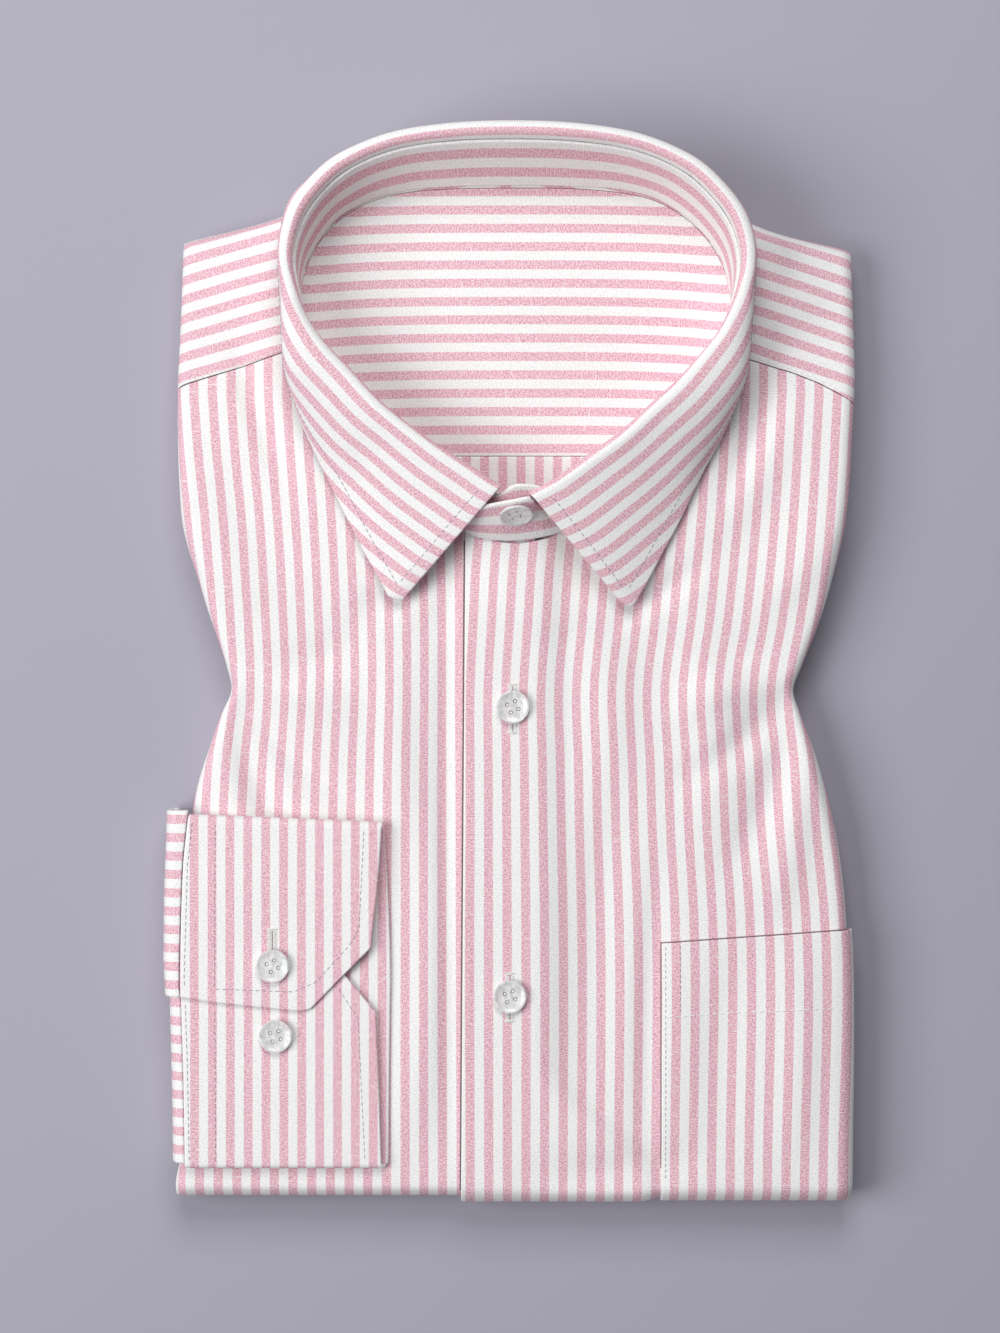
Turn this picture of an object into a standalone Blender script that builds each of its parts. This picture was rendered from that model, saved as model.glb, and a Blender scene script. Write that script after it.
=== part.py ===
"""A folded dress shirt, buttoned up, lying on its back on a flat surface.

Everything is measured in millimetres, in one frame: +X across the shirt, +Y towards the
collar, +Z up, with the origin on the surface under the middle of the bounding box.
The cloth is built as thin walls. A grid of points is worked out on one face of a piece,
and the other face is the same grid moved along its normals.
"""

import math

import bmesh
import bpy
import numpy as np

MM = 0.001

# ---------------------------------------------------------------- driving dimensions

CLOTH = 1.3            # one ply of the shirt as built, with its seam allowances
SEAM_GAP = 0.3         # between pieces that are sewn or lie on each other
FOLD_GAP = 0.6         # between a panel and the layers folded under it
SLAB = 20.0            # nominal height of the folded body

SIDE_EDGES = (         # up the shirt: left side fold, right side fold
    # y, left, right
    (150.0, -114.8, 120.0),
    (125.0, -115.5, 120.7),
    (98.0, -116.6, 121.2),
    (83.0, -116.6, 120.4),
    (64.0, -116.0, 119.3),
    (48.0, -114.5, 117.5),
    (40.0, -112.4, 115.7),
    (32.0, -109.8, 113.6),
    (20.0, -106.1, 110.2),
    (9.0, -102.3, 106.3),
    (0.0, -99.4, 102.6),
    (-8.5, -97.8, 99.6),
    (-16.0, -101.0, 101.9),
    (-29.0, -105.7, 106.7),
    (-43.0, -110.0, 111.0),
    (-58.0, -112.4, 114.5),
    (-76.0, -113.8, 117.1),
    (-103.0, -114.8, 118.8),
    (-135.0, -115.2, 119.1),
    (-160.0, -115.2, 118.8),
    (-172.0, -115.5, 118.7),
    (-180.0, -117.2, 118.6),
    (-187.0, -117.3, 118.4),
)
SHOULDER_EDGE = (      # across the shirt: the fold over the shoulders
    # x, y
    (-114.8, 148.9),
    (-80.0, 157.7),
    (-60.0, 166.5),
    (-38.5, 174.5),
    (2.0, 177.5),
    (40.0, 174.5),
    (64.0, 166.5),
    (86.8, 153.9),
    (120.0, 145.0),
)
TAIL_EDGE = -186.3     # the fold across the bottom
TOP_HEIGHTS = (        # up the shirt: how high its upper face lies
    # y, z
    (-187.0, 19.8),
    (-120.0, 20.2),
    (-60.0, 19.9),
    (-8.0, 19.7),
    (45.0, 20.6),
    (80.0, 20.2),
    (105.0, 19.4),
    (128.0, 18.5),
    (150.0, 16.8),
    (168.0, 15.2),
    (190.0, 14.8),
)
NECK_RISE = 0.9        # the fronts stand up a little under the buttoned band
NECK_RISE_WIDTH = 28.0

SIDE_ROLL = (4.5, 4.5, 135.0)       # reach, half height and turn in degrees of each fold
TAIL_ROLL = (5.0, 9.3, 165.0)
SHOULDER_ROLL = (4.5, 7.0, 150.0)

CORNER_DRAW = 0.45     # share of the tall folds' turn given up at the corners

YOKE_SEAM = (          # across the shirt: the seam between yoke and fronts
    # x, y
    (-130.0, 95.0),
    (-116.3, 98.0),
    (-97.9, 103.8),
    (-79.7, 110.1),
    (-73.0, 112.6),
    (77.4, 109.5),
    (84.8, 107.3),
    (98.1, 103.4),
    (108.6, 99.2),
    (120.7, 92.7),
    (134.0, 89.0),
)
YOKE_SIDE = 110.0      # height up the shirt where the yoke's sides are measured
PLACKET_EDGE = -17.0   # folded edge of the upper front
PLACKET_UNDER = 9.0    # the under front reaches this far below it
PLACKET_STEP = 22.0    # the upper front is back on the body here
BAND_STEP_WIDTH = 8.0  # width over which its top clears the band's upper end
SIDE_AT_LEFT_SEAM = 96.0    # height up the shirt where the yoke seam meets the left side
SIDE_AT_RIGHT_SEAM = 92.0   # and the right side
STRAIGHT_FROM = 70.0   # above this the fronts' columns turn upright
STRAIGHT_WIDTH = 30.0

NECK_MIDDLE = (2.0, 110.0)
NECK_SEAM = (          # the neckline, anticlockwise from the middle of the front
    # x, y
    (2.2, 45.2),
    (23.5, 50.5),
    (42.7, 62.7),
    (63.0, 81.0),
    (73.6, 98.5),
    (77.6, 114.3),
    (77.4, 128.4),
    (75.2, 139.5),
    (69.6, 149.7),
    (60.4, 158.7),
    (47.5, 165.0),
    (26.0, 167.9),
    (2.0, 168.3),
    (-24.5, 167.8),
    (-42.5, 165.4),
    (-56.1, 159.6),
    (-65.4, 150.8),
    (-71.1, 140.5),
    (-73.7, 128.4),
    (-73.4, 114.3),
    (-69.2, 98.5),
    (-57.6, 81.0),
    (-38.4, 63.4),
    (-19.1, 51.2),
)
HOLLOW_FLOOR = 14.0    # the back of the shirt, seen inside the neck
HOLLOW_BULGE = 1.4
HOLLOW_BULGE_WIDTH = 35.0
HOLLOW_SLOPE = 9.0     # width of the slope from the neck seam to that floor
LINING_SEAM = 73.3     # lower edge of the inner yoke
NECK_CLEAR = 0.3       # the inside stops this far short of the neck seam
NECK_INSET_LEFT = 0.6  # the fronts' first columns inside the neck, from its left
NECK_INSET_RIGHT = 0.3      # and from its right
HOLLOW_INSET = 1.4     # the inside's first column, from the neck's left and right
BACK_INSET = 3.0       # and that of the back below the inner yoke

COLLAR_ROLL = 2.75     # radius of the collar's fold line
COLLAR_SEAM_DROP = 2.6 # the fall starts this far down the inner side of the fold
UPRIGHT_FALL = 3.0     # a fall narrower than this in plan hangs straight out from the neck
LEAF_BOW = 0.9         # the collar's points bow up by this much
COLLAR = (             # from the left leaf's front edge, round the back, to the right's
    # neck x, neck y, fold x, fold y, fold z, edge x, edge y, edge z
    (-15.5, 49.7, -4.4, 60.4, 40.4, -39.7, 22.5, 24.2),
    (-25.0, 54.8, -13.0, 67.3, 40.6, -44.9, 28.8, 24.0),
    (-37.0, 62.2, -24.0, 75.8, 40.9, -52.4, 42.4, 23.8),
    (-49.0, 72.4, -35.4, 85.4, 41.3, -60.3, 58.1, 23.6),
    (-58.0, 81.6, -45.3, 93.3, 41.8, -66.9, 71.7, 23.4),
    (-65.6, 91.8, -54.3, 102.6, 42.2, -73.4, 86.1, 23.0),
    (-70.8, 103.4, -63.5, 112.2, 43.0, -78.5, 102.6, 22.6),
    (-73.2, 114.6, -70.0, 121.7, 43.6, -80.0, 118.7, 22.2),
    (-73.6, 126.0, -74.1, 131.0, 44.0, -80.7, 131.5, 21.8),
    (-72.2, 137.0, -76.6, 142.0, 44.2, -80.9, 144.0, 21.2),
    (-68.2, 146.6, -74.3, 154.5, 44.2, -79.2, 157.5, 19.6),
    (-60.8, 156.4, -68.6, 163.7, 44.0, -73.6, 167.0, 16.5),
    (-50.0, 162.8, -58.2, 173.4, 43.6, -60.5, 176.6, 12.0),
    (-36.0, 166.6, -41.1, 180.9, 43.2, -41.8, 181.4, 8.5),
    (-19.0, 168.0, -20.5, 184.2, 43.0, -20.7, 183.0, 6.6),
    (2.0, 168.3, 2.1, 185.0, 43.0, 2.1, 183.4, 6.4),
    (23.0, 168.0, 24.5, 184.0, 43.0, 24.7, 183.0, 6.6),
    (40.0, 166.8, 45.0, 180.4, 43.2, 45.7, 181.2, 8.5),
    (54.0, 162.6, 62.3, 172.6, 43.6, 64.6, 175.4, 12.0),
    (65.0, 154.6, 73.6, 161.8, 44.0, 78.2, 164.4, 16.5),
    (72.2, 145.8, 79.6, 152.0, 44.2, 84.2, 154.0, 19.6),
    (75.6, 137.8, 82.0, 140.6, 44.2, 86.2, 142.0, 21.2),
    (77.4, 127.4, 80.2, 129.0, 44.0, 85.6, 129.2, 21.8),
    (77.4, 112.6, 74.6, 115.6, 43.6, 84.3, 114.6, 22.2),
    (75.0, 101.6, 67.4, 106.0, 43.0, 82.1, 99.0, 22.6),
    (69.4, 89.8, 58.6, 96.7, 42.2, 75.5, 82.6, 23.0),
    (61.8, 79.6, 49.2, 88.8, 41.8, 67.5, 67.2, 23.4),
    (52.2, 70.6, 39.2, 80.3, 41.3, 60.5, 52.5, 23.6),
    (41.8, 62.0, 28.6, 72.7, 40.9, 53.1, 38.6, 23.8),
    (29.4, 53.8, 17.2, 64.9, 40.6, 46.5, 26.3, 24.0),
    (20.4, 49.3, 9.3, 60.8, 40.4, 41.2, 20.8, 24.2),
)
BAND = 1.5             # thickness of the band that carries the collar
BAND_UNDER = (         # its under end, from the tip to the left leaf
    # foot x, foot y, head x, head y, head z
    (14.0, 47.0, 12.4, 56.6, 35.0),
    (2.2, 45.3, 2.0, 60.0, 38.8),
)
LAPPED = (0.2, 0.6, 1.0, 1.0, 1.0, 1.0)     # how far the band's upper end has stepped out
LAP_FOOT = 0.9                              # and its foot has risen over the placket
BAND_UPPER = (         # its upper end, from the right leaf to the tip
    # foot x, foot y, head x, head y, head z
    (12.0, 46.6, 8.0, 58.6, 38.0),
    (2.2, 45.2, 1.4, 56.8, 37.2),
    (-6.0, 45.6, -6.6, 54.4, 35.0),
    (-8.6, 46.4, -9.4, 51.6, 31.0),
)

POCKET_TOP = (         # across the shirt: the pocket's hemmed top
    # x, y
    (53.1, -96.9),
    (118.4, -92.2),
    (134.0, -91.4),
)
POCKET_SIDE = 53.1
POCKET_COLUMNS = (POCKET_SIDE, 62.0, 75.0, 88.0, 102.0)
POCKET_ROWS = (0.0, 0.1, 0.3, 0.5, 0.72, 1.0)
POCKET_CORNER = -92.0  # height up the shirt where its top reaches the side fold
POCKET_GAP = 0.6       # between the pocket and the front

CUFF_SEAM = -113.4     # where the sleeve is sewn to the cuff
CUFF_EDGE = -44.3      # the cuff's free edge, upper ply
CUFF_EDGE_LOWER = -41.9     # and lower ply
CUFF_FAR = -51.6       # the cuff's fold nearest the collar
CUFF_NEAR = -175.2     # and nearest the tail
CUFF_BASE = 20.6       # underside of its lower ply
CUFF_ROLL_NEAR = 1.75  # radii of its two folds
CUFF_ROLL_FAR = 2.6
CUFF_MITRES = (        # across the cuff: ends of the upper and of the lower flap
    # x, upper flap, lower flap
    (-113.4, -115.6, -92.0),
    (-95.0, -117.6, -92.0),
    (-71.4, -119.4, -92.0),
    (-63.5, -112.2, -99.6),
    (-57.8, -107.0, -106.9),
    (-52.0, -101.6, -114.4),
    (-46.8, -97.0, -121.0),
    (-44.3, -97.0, -121.6),
)

SLEEVE_OUT = (         # along the sleeve: how far it reaches past the side fold
    # y, x
    (-173.4, -119.0),
    (-150.0, -119.5),
    (-125.0, -120.2),
    (-103.0, -121.2),
    (-80.0, -121.0),
    (-50.2, -120.0),
)
SLEEVE_TURN = 1.55     # radius of its fold beside the body
SLEEVE_LOW = 3.4       # and how high that fold's middle lies
SLEEVE_FAR = -50.2
SLEEVE_NEAR = -173.4
SLEEVE_ROWS = 9
SLEEVE_SHOULDER = (    # its upper corner: in from the outside, down from the cuff's top
    (3.4, 0.3),
    (1.1, 2.0),
    (0.0, 5.5),
)
SLEEVE_STRAIGHT = 12.0 # upright below this height
SLEEVE_INNER = (       # its inner corner: in from the inner side, height
    (0.0, 17.2),
    (0.9, 19.9),
)

BUTTON_DIAMETER = 11.4  # 18 ligne
BUTTON_THICKNESS = 2.6
BUTTON_HOLE = 1.6
BUTTON_HOLE_SPACING = 3.2
BUTTON_STEPS = 16
BUTTON_PROFILE = (     # from the middle of its underside round the rim to its dished middle
    # share of radius, share of thickness
    (0.0, 0.0),
    (0.62, 0.0),
    (0.9, 0.35),
    (1.0, 0.62),
    (0.97, 0.88),
    (0.86, 1.0),
    (0.72, 0.9),
    (0.62, 0.72),
    (0.0, 0.68),
)
COLLAR_BUTTON_HEIGHT = 35.6    # the button on the leaning band
BUTTONS = (            # centre of the underside, and how its face leans
    # name, x, y, lean towards the tail in degrees, turn in degrees
    ("button_collar", 2.1, 50.4, 55.0, 25.0),
    ("button_front_upper", 1.1, -14.1, 0.0, 25.0),
    ("button_front_lower", 0.1, -115.2, 0.0, 20.0),
    ("button_cuff_upper", -82.5, -104.2, 0.0, 30.0),
    ("button_cuff_lower", -81.6, -128.8, 0.0, 15.0),
)

# ---------------------------------------------------------------- curves through tables


def column(table, index):
    """One named column of a table."""
    return np.array([row[index] for row in table], float)


def curve(keys, values, at):
    """A smooth curve through a table's points, held level past its ends."""
    at = np.clip(at, keys[0], keys[-1])
    step = np.diff(keys)
    tangent = np.gradient(values, keys)
    cell = np.clip(np.searchsorted(keys, at) - 1, 0, len(step) - 1)
    t = (at - keys[cell]) / step[cell]
    start = values[cell] * (1 + 2 * t) + step[cell] * tangent[cell] * t
    end = values[cell + 1] * (3 - 2 * t) - step[cell] * tangent[cell + 1] * (1 - t)
    return start * (1 - t) ** 2 + end * t ** 2


def ease(t):
    """A smooth step from 0 to 1."""
    t = np.clip(t, 0.0, 1.0)
    return t * t * (3 - 2 * t)


def side_edge(y, index):
    table = SIDE_EDGES[::-1]
    return curve(column(table, 0), column(table, index), y)


def left_edge(y):
    return side_edge(y, 1)


def right_edge(y):
    return side_edge(y, 2)


def shoulder_edge(x):
    return curve(column(SHOULDER_EDGE, 0), column(SHOULDER_EDGE, 1), x)


def yoke_seam(x):
    return np.interp(x, column(YOKE_SEAM, 0), column(YOKE_SEAM, 1))


def neck_loop(count):
    """The neck seam as a closed smooth loop, with the angle of each point."""
    wrap = 3
    rows = NECK_SEAM[-wrap:] + NECK_SEAM + NECK_SEAM[:wrap + 1]
    keys = np.arange(len(rows), dtype=float) - wrap
    at = np.linspace(0.0, len(NECK_SEAM), count, endpoint=False)
    x = curve(keys, column(rows, 0), at)
    y = curve(keys, column(rows, 1), at)
    return x, y


NECK_SAMPLES = 720
NECK_X, NECK_Y = neck_loop(NECK_SAMPLES)
NECK_ANGLE = np.arctan2(NECK_Y - NECK_MIDDLE[1], NECK_X - NECK_MIDDLE[0])
NECK_RADIUS = np.hypot(NECK_X - NECK_MIDDLE[0], NECK_Y - NECK_MIDDLE[1])
NECK_LEFT = float(NECK_X.min())
NECK_RIGHT = float(NECK_X.max())


def neck_radius(angle):
    order = np.argsort(NECK_ANGLE)
    return np.interp(angle, NECK_ANGLE[order], NECK_RADIUS[order], period=2 * math.pi)


def neck_arc(x, front):
    """Height up the shirt of the neck seam's front or back half."""
    split = NECK_Y[np.argmin(NECK_X)]
    half = NECK_Y < split if front else NECK_Y >= split
    order = np.argsort(NECK_X[half])
    return np.interp(x, NECK_X[half][order], NECK_Y[half][order])


# ---------------------------------------------------------------- the body's upper face


def upper_height(x, y):
    """Height of the body's upper face, with the rise below the collar's band."""
    away = ((x - NECK_MIDDLE[0]) ** 2 + (y - NECK_SEAM[0][1]) ** 2) / NECK_RISE_WIDTH ** 2
    return curve(column(TOP_HEIGHTS, 0), column(TOP_HEIGHTS, 1), y) + NECK_RISE * np.exp(-away)


def roll(past, shape, out):
    """Reach and drop of cloth that has run some way past the start of a fold."""
    reach, height, turn = shape
    angle = np.clip(past / ((reach + height) / 2), 0.0, math.radians(turn))
    return (reach + out) * np.sin(angle), (height + out) * (1 - np.cos(angle))


def roll_length(shape, share=1.0):
    """Cloth that a fold takes up, to a share of its turn."""
    reach, height, turn = shape
    return share * math.radians(turn) * (reach + height) / 2


def body_point(across, along, out=0.0):
    """Points of the upper face, or out from it. Both measures run on the cloth, over the folds."""
    tail_start = TAIL_EDGE + TAIL_ROLL[0]
    shoulder_start = shoulder_edge(across) - SHOULDER_ROLL[0]
    tail_reach, tail_drop = roll(tail_start - along, TAIL_ROLL, out)
    shoulder_reach, shoulder_drop = roll(along - shoulder_start, SHOULDER_ROLL, out)
    y = np.clip(along, tail_start, shoulder_start) - tail_reach + shoulder_reach
    left_start = left_edge(y) + SIDE_ROLL[0]
    right_start = right_edge(y) - SIDE_ROLL[0]
    left_reach, left_drop = roll(left_start - across, SIDE_ROLL, out)
    right_reach, right_drop = roll(across - right_start, SIDE_ROLL, out)
    x = np.clip(across, left_start, right_start) - left_reach + right_reach
    z = upper_height(x, y) + out
    for drop in (tail_drop, shoulder_drop, left_drop, right_drop):
        z = z * (1 - drop / (SLAB + out))
    return np.stack([x, y, z], axis=-1)


def hollow_height(x, y):
    """Height of the shirt's inside, which dips from the neck seam to the back."""
    angle = np.arctan2(y - NECK_MIDDLE[1], x - NECK_MIDDLE[0])
    out = np.hypot(x - NECK_MIDDLE[0], y - NECK_MIDDLE[1])
    rim_radius = neck_radius(angle)
    rim_x = NECK_MIDDLE[0] + rim_radius * np.cos(angle)
    rim_y = NECK_MIDDLE[1] + rim_radius * np.sin(angle)
    rim = upper_height(rim_x, rim_y) - CLOTH - 2 * SEAM_GAP
    bulge = HOLLOW_BULGE * np.exp(-(out / HOLLOW_BULGE_WIDTH) ** 2)
    return rim + (HOLLOW_FLOOR - rim) * ease((rim_radius - out) / HOLLOW_SLOPE) + bulge


# ---------------------------------------------------------------- walls and solids


def moved_out(grid, distance):
    """A grid of points moved along its normals, up where rows run down the shirt."""
    down = np.gradient(grid, axis=0)
    over = np.gradient(grid, axis=1)
    normal = np.cross(down, over)
    normal /= np.linalg.norm(normal, axis=2, keepdims=True)
    return grid + normal * distance


def material(name, colour, roughness):
    surface = bpy.data.materials.new(name)
    surface.use_nodes = True
    shader = surface.node_tree.nodes["Principled BSDF"]
    shader.inputs["Base Color"].default_value = (*colour, 1.0)
    shader.inputs["Roughness"].default_value = roughness
    shader.inputs["Metallic"].default_value = 0.0
    return surface


def add_solid(name, points, faces, surface):
    """One closed body, with its faces turned outwards."""
    mesh = bpy.data.meshes.new(name)
    mesh.from_pydata([tuple(p) for p in np.asarray(points) * MM], [], faces)
    shape = bmesh.new()
    shape.from_mesh(mesh)
    bmesh.ops.recalc_face_normals(shape, faces=shape.faces)
    if shape.calc_volume(signed=True) < 0:
        bmesh.ops.reverse_faces(shape, faces=shape.faces)
    shape.to_mesh(mesh)
    shape.free()
    mesh.shade_smooth()
    mesh.set_sharp_from_angle(angle=math.radians(50))
    mesh.materials.append(surface)
    piece = bpy.data.objects.new(name, mesh)
    bpy.context.collection.objects.link(piece)
    return piece


def add_wall(name, face, back, surface):
    """A closed wall between two grids of the same size."""
    rows, columns = face.shape[:2]
    count = rows * columns
    points = np.concatenate([face.reshape(-1, 3), back.reshape(-1, 3)])
    faces = []
    for i in range(rows - 1):
        for j in range(columns - 1):
            a = i * columns + j
            b = a + 1
            c = a + columns + 1
            d = a + columns
            faces.append((a, d, c, b))
            faces.append((a + count, b + count, c + count, d + count))
    top = [j for j in range(columns)]
    right = [i * columns + columns - 1 for i in range(1, rows)]
    bottom = [(rows - 1) * columns + j for j in range(columns - 2, -1, -1)]
    left = [i * columns for i in range(rows - 2, 0, -1)]
    border = top + right + bottom + left
    for a, b in zip(border, border[1:] + border[:1]):
        faces.append((a, b, b + count, a + count))
    return add_solid(name, points, faces, surface)


# ---------------------------------------------------------------- body panels

FRONT_TOP = 97.0       # where a front's rows are counted from
FRONT_ROWS = (84.0, 64.0, 50.0, 38.0, 26.0, 12.0, 0.0, -8.5, -17.0, -30.0, -45.0, -62.0, -85.0,
              -115.0, -150.0, -172.0, -181.3)
YOKE_ROWS = (0.0, 0.33, 0.67, 1.0)      # shares of the yoke's depth with a row of points
TURNS = (0.0, 0.3, 0.55, 0.8, 1.0)      # shares of a side fold's turn with a row of points
LONG_TURNS = (0.0, 0.18, 0.35, 0.52, 0.68, 0.84, 1.0)   # and of the taller folds' turns


def corner_steps(steps, past_side):
    """Steps round a tall fold, fewer of them used up where the side fold turns as well."""
    share = past_side / roll_length(SIDE_ROLL)
    return np.array(steps) * (1 - CORNER_DRAW * share)


def front_rows():
    """Shares of a front's length from its top to the start of the tail fold."""
    rows = np.array(FRONT_ROWS)
    return np.concatenate([[0.0], (FRONT_TOP - rows) / (FRONT_TOP - rows[-1])])


def fold_start(y, left_side):
    """Place across the shirt where its side fold starts."""
    return left_edge(y) + SIDE_ROLL[0] if left_side else right_edge(y) - SIDE_ROLL[0]


def front_grid(inner_columns, left_side):
    """Points on a front. Columns run down the shirt, and past the fold at its side."""
    outward = -1.0 if left_side else 1.0
    inner = PLACKET_UNDER if left_side else PLACKET_EDGE
    side_at_seam = SIDE_AT_LEFT_SEAM if left_side else SIDE_AT_RIGHT_SEAM
    reference = fold_start(side_at_seam, left_side)
    side_x = reference + outward * SIDE_ROLL[0]
    bottom = TAIL_EDGE + TAIL_ROLL[0]
    tail_steps = [roll_length(TAIL_ROLL, share) for share in LONG_TURNS[1:]]
    columns = [(x, 0.0) for x in inner_columns]
    side = [(None, roll_length(SIDE_ROLL, share)) for share in TURNS]
    columns = side[::-1] + columns if left_side else columns + side
    grid = []
    for x, step in columns:
        if x is None:
            top = yoke_seam(side_x + outward * step) - SEAM_GAP
        else:
            top = yoke_seam(x) - SEAM_GAP
            if NECK_LEFT + NECK_INSET_LEFT < x < NECK_RIGHT - NECK_INSET_RIGHT:
                top = min(top, neck_arc(x, front=True))
            if not left_side:
                top -= (BAND + 2 * SEAM_GAP) * ease((PLACKET_STEP - x) / BAND_STEP_WIDTH)
        along = top + (bottom - top) * front_rows()
        along = np.concatenate([along, bottom - corner_steps(tail_steps, step)])
        if x is None:
            y = np.clip(along, TAIL_EDGE, None)
            across = fold_start(y, left_side) + outward * step
        else:
            start = fold_start(along, left_side)
            across = inner + (start - inner) * (x - inner) / (reference - inner)
            across = across + (x - across) * ease((along - STRAIGHT_FROM) / STRAIGHT_WIDTH)
        grid.append((across, along))
    return np.array(grid).transpose(1, 2, 0)


def add_panel(name, cloth, lift, surface):
    """A wall on the body's upper face, from where its points lie on the cloth."""
    face = body_point(*cloth, lift)
    add_wall(name, face, body_point(*cloth, lift - CLOTH), surface)


def build_fronts(surface):
    right_front = (-92.0, NECK_LEFT + 0.9, -71.5, -67.0, -60.0, -50.0, -38.0, -26.0,
                   PLACKET_EDGE + 1, -8.0, 0.0, PLACKET_UNDER)
    add_panel("front_right", front_grid(right_front, left_side=True), 0.0, surface)
    left_front = (PLACKET_EDGE, -8.0, 0.0, PLACKET_UNDER, 15.0, PLACKET_STEP, 32.0, 43.0, 54.0,
                  64.0, 71.0, 75.0, NECK_RIGHT - 0.5, 92.0)
    over = front_grid(left_front, left_side=False)
    step = (PLACKET_STEP - over[0]) / (PLACKET_STEP - PLACKET_UNDER)
    add_panel("front_left", over, (CLOTH + SEAM_GAP) * ease(step), surface)


def build_yoke(surface):
    """The outer yoke: both shoulders, joined behind the collar, over the shoulder fold."""
    side_steps = [roll_length(SIDE_ROLL, share) for share in TURNS]
    top_steps = [roll_length(SHOULDER_ROLL, share) for share in LONG_TURNS]
    left = (-94.0, -79.0, NECK_LEFT - 0.1, NECK_LEFT + 0.5, NECK_LEFT + 1.4, -70.0, -67.0)
    middle = (-62.0, -55.0, -45.0, -34.0, -18.0, 2.0, 20.0, 36.0, 47.0, 57.0, 65.0)
    right = (70.0, 73.5, 76.0, NECK_RIGHT - 0.5, NECK_RIGHT + 0.1, 83.0, 98.0)
    columns = [("left", -step) for step in side_steps[::-1]]
    columns += [(x, 0.0) for x in left + middle + right]
    columns += [("right", step) for step in side_steps]
    grid = []
    for x, step in columns:
        if x in ("left", "right"):
            edge = left_edge(YOKE_SIDE) if x == "left" else right_edge(YOKE_SIDE)
            low = yoke_seam(edge + step)
            high = shoulder_edge(edge) - SHOULDER_ROLL[0]
        else:
            low = yoke_seam(x)
            if NECK_LEFT < x < NECK_RIGHT:
                low = max(low, neck_arc(x, front=False))
            high = shoulder_edge(x) - SHOULDER_ROLL[0]
        flat = [high + (low - high) * share for share in YOKE_ROWS]
        past = corner_steps(top_steps[:0:-1], abs(step))
        along = np.concatenate([high + past, flat])
        if x in ("left", "right"):
            across = fold_start(np.clip(along, None, high), x == "left") + step
        else:
            across = np.full(len(along), x)
        grid.append((across, along))
    add_panel("yoke", np.array(grid).transpose(1, 2, 0), 0.0, surface)


def hollow_grid(count, low_limit, high_limit, rows):
    """Points of the shirt's inside between two heights up the shirt."""
    turn = np.linspace(0.0, math.pi, count)
    if low_limit is None:
        ends = NECK_X[NECK_Y < high_limit]
        first, last = ends.min() + BACK_INSET, ends.max() - BACK_INSET
    else:
        first, last = NECK_LEFT + HOLLOW_INSET, NECK_RIGHT - HOLLOW_INSET
    columns = (first + last) / 2 - (last - first) / 2 * np.cos(turn)
    grid = []
    for x in columns:
        high = neck_arc(x, front=False) - NECK_CLEAR
        low = neck_arc(x, front=True) + NECK_CLEAR
        if low_limit is not None:
            low = max(low, low_limit)
        if high_limit is not None:
            high = high_limit
        y = high + (low - high) * (1 - np.cos(np.linspace(0.0, math.pi, rows))) / 2
        grid.append(np.stack([np.full(rows, x), y, hollow_height(np.full(rows, x), y)], axis=-1))
    return np.array(grid).transpose(1, 0, 2)


def build_inside(surface):
    """What shows inside the neck: the inner yoke, and the back below its seam."""
    lining = hollow_grid(21, LINING_SEAM, None, 11)
    add_wall("yoke_lining", lining, moved_out(lining, -CLOTH), surface)
    back = hollow_grid(15, None, LINING_SEAM - 2 * SEAM_GAP, 7)
    add_wall("back_panel", back, moved_out(back, -CLOTH), surface)


# ---------------------------------------------------------------- the layers underneath

CORE_EDGES = (         # how the folded layers end, from the flat top down to the floor
    # side inset, side z, tail inset, tail z, shoulder inset, shoulder z
    (9.0, 18.0, 10.0, 18.0, 5.4, 17.6),
    (4.8, 17.9, 5.4, 17.8, 4.3, 17.4),
    (2.7, 17.0, 3.2, 16.6, 3.0, 16.8),
    (2.0, 15.2, 2.3, 14.2, 2.3, 15.3),
    (2.7, 13.5, 2.0, 10.7, 2.0, 13.0),
    (3.3, 12.0, 2.4, 7.4, 2.7, 9.8),
    (1.5, 11.2, 3.6, 5.0, 4.2, 7.7),
    (0.6, 8.6, 5.0, 4.0, 1.9, 5.4),
    (0.5, 4.6, 5.6, 3.0, 1.2, 3.4),
    (1.5, 1.4, 6.4, 1.3, 2.0, 1.1),
    (3.7, 0.0, 7.2, 0.0, 4.0, 0.0),
)
CORE_CORNER = 3.0      # the layers draw in at the tail's corners
CORE_SHOULDER_CORNER = 1.2      # and less at the shoulders'
CORE_SIDE_ROWS = (132.0, 115.0, 97.0) + FRONT_ROWS[:-1] + (-175.0,)
CORE_SHOULDER_LEFT = -115.0     # ends of the shoulder fold
CORE_SHOULDER_RIGHT = 120.0
HOLLOW_SHARES = (0.72, 0.4)     # rings under the neck's floor, from its rim to its middle
HOLLOW_INSETS = (HOLLOW_SLOPE, 6.6, 4.4, 2.2, 0.0)     # and down the slope at its rim
NECK_MARGIN = 1.6      # the layers reach their full height this far outside the neck
SLOPE_STEP = 0.5       # distance over which the slope's steepness is measured
TAIL_COLUMNS = (-101.0, -78.0, -52.0, -26.0, 0.0, 26.0, 52.0, 78.0, 101.0)
SHOULDER_COLUMNS = (-97.0, -80.0, -67.0, -55.0, -42.0, -30.0, -15.0, 2.0, 17.0, 32.0, 44.0, 57.0,
                    70.0, 86.0, 103.0)


def core_border():
    """Points round the folded layers: the side each belongs to, and its place."""
    border = [("tail left", 0.0, 0.0)]
    border += [("left", 0.0, y) for y in CORE_SIDE_ROWS[::-1]]
    border += [("shoulder left", 0.0, 0.0)]
    border += [("shoulder", x, 0.0) for x in SHOULDER_COLUMNS]
    border += [("shoulder right", 0.0, 0.0)]
    border += [("right", 0.0, y) for y in CORE_SIDE_ROWS]
    border += [("tail right", 0.0, 0.0)]
    border += [("tail", x, 0.0) for x in TAIL_COLUMNS[::-1]]
    return border


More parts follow.
